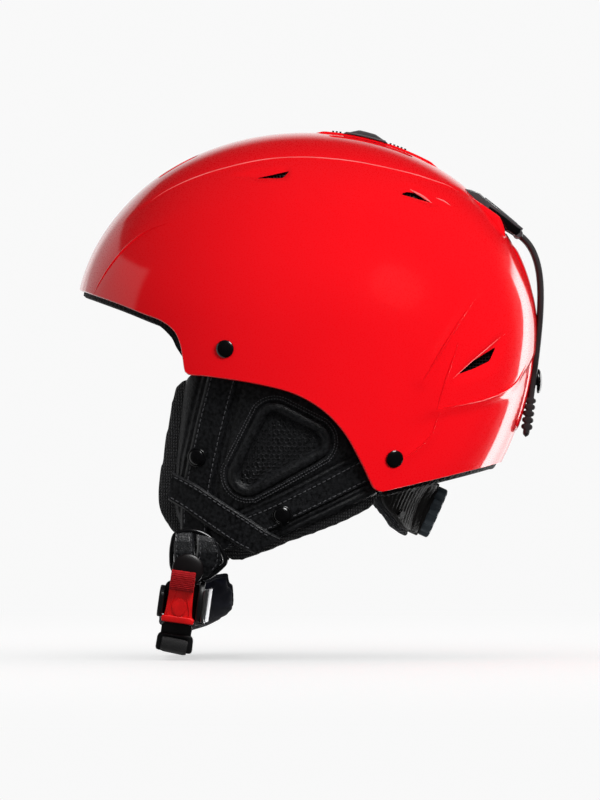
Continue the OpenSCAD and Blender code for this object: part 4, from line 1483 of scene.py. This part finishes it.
def dial():
    teeth, sides = 14, 224
    profile = [(0.86, -0.2), (0.97, -0.1), (1.0, 0.3), (1.0, 5.0), (0.975, 5.9), (0.93, 6.4), (0.72, 6.4),
               (0.66, 6.1), (0.62, 5.2), (0.58, 5.0), (0.30, 5.0), (0.26, 5.3), (0.20, 5.4), (0.01, 5.4)]
    theta = np.arange(sides) * 2 * math.pi / sides
    grip = np.clip(np.cos(teeth * theta) * 1.6, -1, 1)
    verts = []
    for share, h in profile:
        depth = smooth_step(np.array(share), 0.9, 1.0)
        r = 15.2 * share + 0.9 * grip * depth
        verts += [(x, DIAL_BASE + h, z) for x, z in zip(r * np.cos(theta), r * np.sin(theta))]
    parts = Parts()
    parts.bar(fit_place(verts), sides)
    for k in range(3):
        turn = k * 2 * math.pi / 3
        arc = [turned(7.6, turn + s) for s in np.linspace(0.25, 1.6, 14)]
        parts.tube(fit_place([(x, DIAL_BASE + 5.15, z) for x, z in arc]), 0.55, 8)
    parts.make("fit_dial_knob", DIAL, "fit_dial", ("fit_dial",), 35)


def neck_padding():
    cols, rows = 60, 14
    ang = np.linspace(-PAD_ENDS, PAD_ENDS, cols)
    z0, z1 = -15.4, 13.6
    taper = 1 - 0.35 * smooth_step(np.abs(ang), 34, 52)
    z = np.linspace(z0, z1, rows)[:, None] * taper[None, :]
    a = np.broadcast_to(ang, z.shape)
    back = band_points(a, NECK_PAD_OUT, z).reshape(rows, cols, 3)
    front = band_points(a, NECK_PAD_IN, z).reshape(rows, cols, 3)
    pad = make("neck_padding", *slab(back, front), FLEECE, "fit_cradle", ("neck_pad",), 0)
    puff(pad, 3.2, 1.3)
    piping = Parts()
    path_a = np.linspace(-PAD_ENDS, PAD_ENDS, 90)
    edge = np.interp(np.abs(path_a), [0, 12, 24, 36, 47, 52], [-18.6, -18.4, -16.9, -12.4, -7.8, -6.0])
    reach = np.interp(np.abs(path_a), [0, 10, 24, 36, 52], [69.6, 68.4, 65.0, 64.6, 64.6])
    piping.tube(band_points(path_a, reach, edge), 1.7, 12)
    piping.tube(band_points(path_a, reach + 0.6, edge + 2.2), 1.2, 10)
    piping.make("neck_piping", PIPING, "fit_cradle", ("neck_pad_piping",), 60)


cradle()
dial()
neck_padding()


# ---------------------------------------------------------------- goggle strap

STRAP_CTRL = np.array([[130, 156.5], [152, 142], [143, 100], [134.6, 33]], float)


def along_x(x, y=0, z=0):
    """Placement of an outline in y and z, extruded along x."""
    return lambda p: p[:, [2, 0, 1]] + [x, y, z]


def strap_curve(t):
    t = np.asarray(t, float)[:, None]
    c = STRAP_CTRL
    return (1 - t) ** 3 * c[0] + 3 * t * (1 - t) ** 2 * c[1] + 3 * t * t * (1 - t) * c[2] + t ** 3 * c[3]


def goggle_strap():
    t = np.concatenate([np.linspace(0.02, 0.86, 120), np.linspace(0.862, 1.0, 190)])
    line = strap_curve(t)
    ribs = (0.885, 0.906, 0.927, 0.948, 0.969)
    bump = sum(np.clip(1 - ((t - r) / 0.0085) ** 2, 0, 1) ** 0.5 for r in ribs)
    half_t = 1.9 + 1.5 * bump
    end = np.sqrt(np.clip(1 - smooth_step(t, 0.985, 1.0) ** 2, 0.02, 1))
    half_t = half_t * end
    half_w = (11.0 - 1.6 * smooth_step(t, 0.74, 0.8)) * np.where(t > 0.97, 0.55 + 0.45 * end, 1)
    n = -side_normals(line)
    section_points = []
    for k in range(28):
        a = 2 * math.pi * k / 28
        c, s = math.cos(a), math.sin(a)
        section_points.append((math.copysign(abs(c) ** 0.28, c), math.copysign(abs(s) ** 0.45, s)))
    verts = []
    for i in range(len(t)):
        for u, v in section_points:
            verts.append((half_w[i] * u, *(line[i] + n[i] * v * half_t[i])))
    parts = Parts()
    parts.bar(verts, 28)
    eye = [(1.7, -10.9), (2.3, -10.9), (2.6, -10.4), (2.6, 10.4), (2.3, 10.9), (1.7, 10.9)]
    parts.lathe(eye, 28, along_x(0, *STRAP_HINGE))
    parts.make("goggle_strap_rubber", RUBBER, "goggle_strap", ("goggle_strap",), 50)

    cap = Parts()
    base = section(np.array(STUD_Z))[1] + 4.7
    profile = [(6.6, -0.2), (7.4, 0.1), (7.5, 0.8)] + dome(7.4, 0.9, 2.2, 0.12, 1.54, 9)
    cap.lathe(profile, 48, lambda p: p[:, [0, 2, 1]] + [0, float(base), STUD_Z])
    cap.make("strap_snap_cap", GLOSS, "goggle_strap", ("goggle_snap_cap",))


def clip_plate():
    """Snap-in clip at the back: a ribbed middle between two arms, and the strap's hinge."""
    parts = Parts()
    arm = [(95.4, 183.0), (96.6, 184.0), (101.0, 183.3), (106.5, 181.0), (109.0, 178.7), (116.5, 172.9),
           (132.7, 159.8), (132.2, 158.6), (126.0, 160.8), (118.0, 166.5), (104.0, 175.8)]
    middle = [(103.0, 176.4), (104.5, 178.8), (106.5, 180.4), (109.0, 178.4), (116.5, 172.5), (126.6, 164.4),
              (125.8, 163.0), (118.0, 165.5), (104.0, 173.0)]

    for x0 in (-12.2, -6.1, 0.0, 6.1):
        parts.prism(middle[::-1], 6.3, along_x(x0), 0.4, 2)
    for x0 in (-17.2, 12.2):
        parts.prism(arm[::-1], 5.0, along_x(x0), 0.7, 3)
        eye = [(1.6, 0.1), (2.2, 0.1), (2.6, 0.6), (2.6, 4.4), (2.2, 4.9), (1.6, 4.9)]
        parts.lathe(eye, 32, along_x(x0, *STRAP_HINGE))
    housing = [(112, 174.0), (122, 166.8), (131.2, 159.4), (130.8, 157.0), (128.4, 155.4), (122.4, 159.0),
               (119.6, 164.4), (111, 170.0)]
    # The clip's grey base colour is a painted reflection
    parts.make("strap_clip", CLIP_PAINTED_REFLECTION, "helmet", ("goggle_clip_plate",), 40)
    bearing = Parts()
    for x0 in (-17.3, 13.6):
        bearing.prism(housing[::-1], 3.7, along_x(x0), 0.6, 2)
    bearing.make("strap_clip_bearing", GLOSS, "helmet", (), 40)
    groove = Parts()
    line = [(109.5, 178.3), (118, 171.6), (129, 162.4)]
    for s in (-1, 1):
        groove.tube([(s * 15.2, y, z) for y, z in spline(line, 8)], 0.55, 8)
    groove.make("strap_clip_ribs", GLOSS, "helmet", (), 60)


def clip_shoulders():
    """Red shoulders of the shell that rise beside the clip and end in a corner below its hinge."""
    parts = Parts()
    corners = [(88, 187.4), (95.6, 182.9), (104.1, 177.1), (116.4, 168.6), (118.6, 166.8), (121.4, 160.2),
               (122.2, 152), (108, 156), (90, 170)]
    profile = rounded(corners, [6, 6, 6, 1.2, 1.0, 3, 3, 4, 4], 4)
    parts.prism(profile[::-1], 9.5, along_x(13.0), 3.2, 5)
    parts.mirror_x().make("clip_shoulders", RED, "helmet", (), 50)


goggle_strap()
clip_plate()
clip_shoulders()


# ---------------------------------------------------------------- chin strap

def chin_place(points):
    """Frame of the hanging chin loop, whose origin is on its pivot line."""
    return np.asarray(points, float) @ rot_x(CHIN_TILT).T + CHIN_C


def buckle_place(points):
    """Frame of the buckle, 4 degrees more upright than the loop: z up the strap, x out of the cheek."""
    p = np.asarray(points, float) + [0, 0, PIN_S]
    p = p @ rot_x(BUCKLE_UPRIGHT).T + [0, -3.0, 1.0 - PIN_S]
    return chin_place(p @ rot_y(BUCKLE_LEAN).T + [RING_X + 3, 0, 0])


def plate_at(x):
    """Placement of an outline in y and z of the buckle frame, extruded along x."""
    return lambda p: buckle_place(p[:, [2, 0, 1]] + [x, 0, 0])


def across_from(y):
    """Placement of an outline in x and z of the buckle frame, extruded towards -y."""
    return lambda p: buckle_place(np.stack([p[:, 0], y - p[:, 2], p[:, 1]], 1))


RING_PATH = [(-80.1, -39.1), (-79.5, -30.8), (-77.1, -24.7), (-68.2, -23.1), (-59.9, -25.5), (-51.6, -32.5),
             (-47.8, -40.3), (-49.8, -44.4), (-57.5, -50.4), (-64.7, -52.2), (-73, -52), (-79, -46.2)]


def tongue(parts, strap, x_line, thread):
    """A strap end that bulges through the ring and runs down under the cap."""
    def place(yz, t):
        yz = np.asarray(yz, float)
        x = np.interp(-yz[:, 1], [24, 29, 36, 43, 50], x_line)
        return np.stack([x + np.broadcast_to(t, len(yz)), yz[:, 0], yz[:, 1]], 1)

    ear_strip(parts, strap, 0.0, 1.8, place, 40)
    for line in inset(strap, 0.15):
        stitches(thread, line[3:-3], 1.85, place, 2.0, 2.9, 0.25)


def rings():
    ring = Parts()
    path = [(RING_X + 2.6, y, z) for y, z in spline(RING_PATH, 8, True)]
    ring.tube(path, 1.5, 14, closed=True)
    ring.mirror_x().make("strap_ring_loops", GLOSS, "chin_loop", ("strap_rings",), 60)

    leather, thread = Parts(), Parts()
    front = ([(-78.3, -24), (-79.0, -34), (-77.5, -44), (-75, -50)],
             [(-67, -23), (-66, -34), (-66, -44), (-65.5, -50)])
    rear = ([(-65.2, -25), (-64.8, -34), (-66.5, -42), (-70, -49)],
            [(-54, -27.5), (-50.6, -36), (-51.4, -44), (-58, -51)])
    x_line = (80.0, 82.2, 83.6, 82.6, 80.5)
    tongue(leather, front, x_line, thread)
    tongue(leather, rear, tuple(x - 0.8 for x in x_line), thread)
    leather.mirror_x().make("ring_straps", STRAP_LEATHER, "chin_loop", ("ring_webbing",), 50)
    thread.mirror_x().make("ring_strap_stitching", THREAD, "chin_loop", (), 0)

    cap = Parts()
    cap.lathe([(8.6, -0.2), (9.4, 0.2), (9.5, 1.0)] + dome(9.4, 1.2, 2.0, 0.12, 1.54, 10), 56,
              lambda p: chin_place(p @ rot_y(math.pi / 2).T + [RING_X + 7.0, -3, -11]))
    cap.make("strap_cover_cap", CAP, "chin_loop", ("strap_cap",))


CHEEK = 3.3                 # thickness of the buckle's two cheeks


def buckle():
    black = Parts()
    base = rounded([(-10.5, -46), (13.5, -46), (13.5, -24), (8, -21), (-8, -21), (-10.5, -24)], 2.5, 4)
    black.prism(base, 3.2, plate_at(-4), 0.7, 2)
    radii = [1, 1.5, 3, 4, 4, 3, 1]
    cheek = rounded([(-3.8, -43.8), (3.5, -43.8), (7.2, -41), (7.6, -31), (6.2, -24), (1.5, -19.5),
                     (-3.8, -19)], radii, 5)
    front_cheek = rounded([(-3.8, -43), (3.5, -43), (7.0, -40.5), (7.4, -31), (6.2, -27), (1.5, -25),
                           (-3.8, -24.6)], radii, 5)
    for y0, outline in ((-13.0, front_cheek), (10.3, cheek)):
        black.prism(outline, CHEEK, across_from(y0 + CHEEK), 0.9, 3)
    black.make("buckle_frame_body", FRAME, "chin_loop", ("buckle_housing",), 45)

    steel = Parts()
    flare = rounded([(6.6, 13.4), (7.2, 13.9), (4.6, 16.4), (0.4, 18.4), (-0.2, 17.6), (3.6, 15.6)], 0.5, 3)
    steel.prism(flare, 21.0, lambda p: buckle_place(p + [0, 0, -42.6]), 0.6, 3)
    steel.tube(buckle_place([(PIN_X, 14.4, -PIN_S), (PIN_X, 15.3, -PIN_S), (PIN_X, 15.7, -PIN_S)]),
               np.array([1.9, 1.9, 1.2]), 18)
    steel.make("buckle_side_plate", STEEL, "chin_loop", ("buckle_cover",), 40)


def sweep(parts, line, profile, half_t, place):
    """A profile of y and share of the half-thickness, carried along a curve of x and z."""
    ring = []
    for point, normal, t in zip(line, side_normals(line), half_t):
        for y, share in profile:
            x, z = point + normal * share * t
            ring.append((x, y, z))
    parts.bar(place(ring), len(profile))


def lever():
    parts = Parts()
    x0 = PIN_X + 0.5
    body = symmetric([(8.9, -43.4), (7.9, -36.5), (7.4, -27), (7.2, -20.4)], 1.4, 4)
    parts.prism(body, 2.6, plate_at(x0), 0.6, 3)
    flange = symmetric([(9.7, -44.2), (9.9, -41.2), (7.6, -40.2)], 0.8, 3)
    parts.prism(flange, 3.8, plate_at(x0 - 0.1), 0.7, 3)
    s = np.linspace(0, 6.283, 33)[:-1]
    y, z = 4.6 * np.sin(s) * (1 - 0.22 * np.cos(s)), -34.6 - 5.8 * np.cos(s)
    drop = np.stack([y * np.where(z < -33.6, 1.0, np.maximum(0.35, 1 - (z + 33.6) / 12)), z], 1)
    parts.prism(drop, 1.3, plate_at(x0 + 2.2), 0.55, 3)
    for side in (-1, 1):
        z = np.linspace(-24.5, -39.5, 14)
        y = side * (3.0 + 3.6 * smooth_step(-z, 24, 39))
        parts.tube(buckle_place(np.stack([np.full(14, x0 + 2.65), y, z], 1)), 0.42, 8)
    barrel = [(1.27, -7.7), (2.5, -7.7), (2.6, -7.2), (2.6, 7.2), (2.5, 7.7), (1.27, 7.7)]
    parts.lathe(barrel, 28, lambda p: buckle_place(p[:, [1, 2, 0]] + [PIN_X, 0, -PIN_S]))
    parts.make("buckle_release_lever", LEVER, "buckle_lever", ("buckle_lever",), 45)

    tab = Parts()
    x1 = x0 + 1.0
    path = [(x1 + 0.2, -24.4), (x1 + 0.9, -22.2), (x1 + 2.5, -18.6), (x1 + 2.7, -14.4), (x1 + 3.8, -12.0),
            (x1 + 5.0, -14.0), (x1 + 5.2, -17.2), (x1 + 5.0, -20.6), (x1 + 4.6, -22.4), (x1 + 3.5, -23.2),
            (x1 + 2.7, -22.4), (x1 + 2.5, -21)]
    line = resample(spline(path, 12), 150)
    half_t = 0.62 + 0.16 * np.cos(2 * math.pi * travelled(line) / 1.15)
    front = [(-7.1, -1), (-3.5, -1), (0, -1), (3.5, -1), (7.1, -1)]
    profile = [(-7.4, 0), *front, (7.4, 0), *[(-y, 1) for y, _ in front]]
    sweep(tab, line, profile, half_t, buckle_place)
    tab.make("lever_pull_loop", RED_WEB, "buckle_lever", ("pull_tab",), 50)


def rack():
    parts = Parts()
    tongue_outline = symmetric([(7.9, -49), (7.9, -35), (6.5, -34)], 0.8, 3)
    parts.prism(tongue_outline, 1.3, plate_at(-0.4), 0.25, 2)
    for z in np.arange(-46, -35.5, 2.2):
        tooth = [(0.8, z), (0.8, z + 1.9), (1.9, z + 0.25)]
        parts.prism(tooth, 14.6, across_from(7.3), 0.12, 1)
    neck = symmetric([(9.2, -54), (9.2, -47.5), (7.9, -46.2)], 1.0, 4)
    parts.prism(neck, 1.6, plate_at(-0.5), 0.4, 3)
    frame_outline = symmetric([(11.2, -63.6), (10.9, -54.4), (9.2, -52.6)], [2.4, 1.6, 1], 5)
    slot = symmetric([(7.4, -60.4), (7.4, -54.6)], 1.6, 5)
    parts.prism(frame_outline, 3.2, plate_at(-0.5), 0.8, 3, holes=(slot[::-1],))
    bar = symmetric([(9.4, -59.6), (9.4, -54.8)], 1.2, 4)
    parts.prism(bar, 2.0, plate_at(-0.2), 0.6, 3)
    parts.make("ratchet_strip", FRAME, "ratchet_rack", ("ratchet_rack",), 45)


def loop_point(t, w, d, top):
    return (w * t, -d + (d - top) * abs(t) ** 3.2)


def chin_webbing():
    parts = Parts()
    path = [loop_point(t, 75, 61, 14) for t in np.linspace(-1, 0.5, 16)]
    path += [(52, -59.4), (62, -56.8), (69.8, -54.2), (73.0, -54.6), (74.2, -56.6), (73.4, -59.4),
             (70.2, -61.2), (66.8, -61.2), (60, -61.4), (50, -62.4)]
    line = resample(spline(path, 12), 260)
    face = [(u * 7.9, 1 - 0.55 * abs(u) ** 10) for u in np.linspace(-1, 1, 9)]
    profile = [(y - 1.8, share) for y, share in face + [(y, -share) for y, share in face[::-1]]]
    sweep(parts, line, profile, 0.75 + 0.08 * np.cos(2 * math.pi * travelled(line) / 1.6), chin_place)
    obj = parts.make("chin_webbing_strap", WEBBING, "chin_loop", ("chin_webbing",), 50)
    obj.parent = None
    start = chin_place([(40, 0, -59)])[0] * MM
    end = chin_place([(64, 0, -57.5)])[0] * MM
    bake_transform(obj)


def chin_padding():
    cols, rows = 90, 12
    t = np.linspace(-0.985, 0.985, cols)
    front, back = [], []
    for w, d, top, sheet in ((62.6, 50.4, 17, back), (58.0, 45.8, 17, front)):
        line = np.array([loop_point(s, w, d, top) for s in t])
        for y in np.linspace(-16.2, 29.5, rows):
            wide = (y - 4) * (0.70 + 0.30 * smooth_step(1 - np.abs(t), 0, 0.30)) + 4
            if y > 4:
                wide -= (y - 4) * 0.36 * (1 - smooth_step(np.abs(t), 0.15, 0.75))
            lift = 0.4 * max(y - 2, 0)
            sheet.append(np.stack([line[:, 0], wide, line[:, 1] + lift], 1))
    verts, faces = slab(np.array(back), np.array(front))
    pad = make("chin_padding", chin_place(verts), faces, VELOUR, "chin_loop", ("chin_pad",), 0)
    puff(pad, 3.4, 2.2, 5.0)


rings()
buckle()
lever()
rack()
chin_webbing()
chin_padding()


# ---------------------------------------------------------------- CAD nodes that stay

def dress_frame():
    """Every CAD node gets the procedural material of its record slot."""
    for sub in frame["record"]["subparts"]:
        node = frame["nodes"].get(sub.get("node") or sub.get("name"))
        if node is None:
            continue
        screws = node.name.startswith("housing_screws")
        node.data.materials.clear()
        node.data.materials.append(FRAME if screws else SLOTS[sub["material_slot"]][0])


dress_frame()


# ---------------------------------------------------------------- stage, light and camera

PAPER = 0.945               # brightness of the white backdrop


def blend_range(tree, value, lo, hi, out_lo=0.0, out_hi=1.0):
    """Smooth ramp of a value between two limits, as a node of a material or world tree."""
    n = tree.nodes.new("ShaderNodeMapRange")
    n.interpolation_type = "SMOOTHSTEP"
    tree.links.new(value, n.inputs["Value"])
    for key, number in (("From Min", lo), ("From Max", hi), ("To Min", out_lo), ("To Max", out_hi)):
        n.inputs[key].default_value = number
    return n.outputs["Result"]


def stage():
    """A pale round floor that fades into the white backdrop away from the helmet."""
    z = CAD_BOX[0][2] - 0.0005
    reach, sides = 16.0, 96
    verts = [(reach * math.cos(2 * math.pi * k / sides), reach * math.sin(2 * math.pi * k / sides), z)
             for k in range(sides)]
    mesh = bpy.data.meshes.new("floor")
    mesh.from_pydata(verts, [], [tuple(range(sides))])
    floor = bpy.data.objects.new("floor", mesh)
    bpy.context.scene.collection.objects.link(floor)
    m = Nodes("floor_paper", (0.95, 0.95, 0.95), 0.8, spec=0.1)
    m.set(m.bsdf, "Emission Color", (1.0, 1.0, 1.0, 1.0))
    m.set(m.bsdf, "Emission Strength", 0.56)
    m.bump(m.noise(300.0, 4.0), 0.02, 0.3)
    length = m.tree.nodes.new("ShaderNodeVectorMath")
    length.operation = "LENGTH"
    m.link(m.coords, length.inputs[0])
    fade = blend_range(m.tree, length.outputs["Value"], 0.25, 1.1)
    glow = m.node("ShaderNodeEmission", Color=(PAPER, PAPER, PAPER, 1.0), Strength=1.0)
    mix = m.tree.nodes.new("ShaderNodeMixShader")
    m.link(fade, mix.inputs[0])
    m.link(m.bsdf.outputs[0], mix.inputs[1])
    m.link(glow.outputs[0], mix.inputs[2])
    m.link(mix.outputs[0], m.tree.nodes["Material Output"].inputs["Surface"])
    mesh.materials.append(m.mat)
    floor.visible_glossy = False
    floor.visible_diffuse = False


def studio_world():
    """White backdrop behind the helmet and a window to the right, turning with the camera."""
    world = bpy.data.worlds.new("studio")
    world.use_nodes = True
    t = world.node_tree
    coords = t.nodes.new("ShaderNodeTexCoord")
    turn = t.nodes.new("ShaderNodeVectorTransform")
    turn.vector_type, turn.convert_from, turn.convert_to = "VECTOR", "WORLD", "CAMERA"
    t.links.new(coords.outputs["Generated"], turn.inputs[0])
    split = t.nodes.new("ShaderNodeSeparateXYZ")
    t.links.new(turn.outputs[0], split.inputs[0])
    right, up, away = split.outputs

    def plus(x, y):
        return node_math(t, "ADD", x, y)

    def times(x, y):
        return node_math(t, "MULTIPLY", x, y)

    backdrop = blend_range(t, away, 0.80, 0.97, 0.0, 1.0)
    below_ceiling = blend_range(t, up, 0.43, 0.47, 1.0, 0.0)
    left_wall = times(blend_range(t, right, -0.2, -0.4), blend_range(t, away, -0.2, -0.1, 0.0, 0.6))
    right_window = times(blend_range(t, right, 0.28, 0.34), blend_range(t, away, 0.585, 0.605))
    window_top = blend_range(t, up, 0.24, 0.30, 1.0, 0.0)
    window_glow = blend_range(t, away, 0.6, 0.93, 6.0, 1.0)
    walls = plus(left_wall, times(times(right_window, window_top), window_glow))
    shine = plus(plus(backdrop, times(walls, below_ceiling)), 0.010)
    glow = blend_range(t, up, -0.6, 0.9, 0.26, 0.48)
    path = t.nodes.new("ShaderNodeLightPath").outputs
    mirrored_ray, camera_ray = path["Is Glossy Ray"], path["Is Camera Ray"]
    lit = plus(times(shine, mirrored_ray), times(glow, node_math(t, "SUBTRACT", 1.0, mirrored_ray)))
    seen = plus(times(lit, node_math(t, "SUBTRACT", 1.0, camera_ray)), times(camera_ray, PAPER))
    background = t.nodes["Background"]
    background.inputs["Color"].default_value = (1, 1, 1, 1)
    t.links.new(seen, background.inputs["Strength"])
    bpy.context.scene.world = world


SHELL_PIECES = ("outer_shell_skin", "slider_rail", "shell_crease_lines", "shell_highlight_lines",
                "rear_centre_rib", "clip_shoulders")


def sun(name, towards, energy, angle, glossy, shell_only):
    """A soft sun fixed to the camera: one for the red shell, without a hot spot, and one for the rest."""
    data = bpy.data.lights.new(name, "SUN")
    data.energy, data.angle = energy, math.radians(angle)
    light = bpy.data.objects.new(name, data)
    bpy.context.scene.collection.objects.link(light)
    light.parent = bpy.context.scene.camera
    light.rotation_euler = (-Vector(towards)).to_track_quat("-Z", "Y").to_euler()
    light.visible_glossy = glossy
    group = bpy.data.collections.new(name + "_receivers")
    for piece in SHELL_PIECES:
        group.objects.link(bpy.data.objects[piece])
    if not shell_only:
        group.objects.link(bpy.data.objects["floor"])
    for member in group.collection_objects:
        member.light_linking.link_state = "INCLUDE" if shell_only else "EXCLUDE"
    light.light_linking.receiver_collection = group


def camera():
    """Level view of the wearer's left side, from far enough to be nearly parallel."""
    distance, frame_width = 5.0, 0.366
    eye_y, eye_z = -0.003, 0.0555
    data = bpy.data.cameras.new("camera")
    data.sensor_fit = "HORIZONTAL"
    data.sensor_width = 36.0
    data.lens = 36.0 * distance / frame_width
    data.clip_end = 50
    cam = bpy.data.objects.new("camera", data)
    cam.location = (distance, eye_y, eye_z)
    cam.rotation_euler = (math.radians(90), 0, math.radians(90))
    bpy.context.scene.collection.objects.link(cam)
    bpy.context.scene.camera = cam


stage()
studio_world()
camera()
sun("key_shell", (0.6, 0.35, 0.72), 3.0, 25, False, True)
sun("key_rest", (0.45, 0.9, 0.6), 2.6, 26, True, False)
bpy.context.scene.view_settings.view_transform = "Standard"
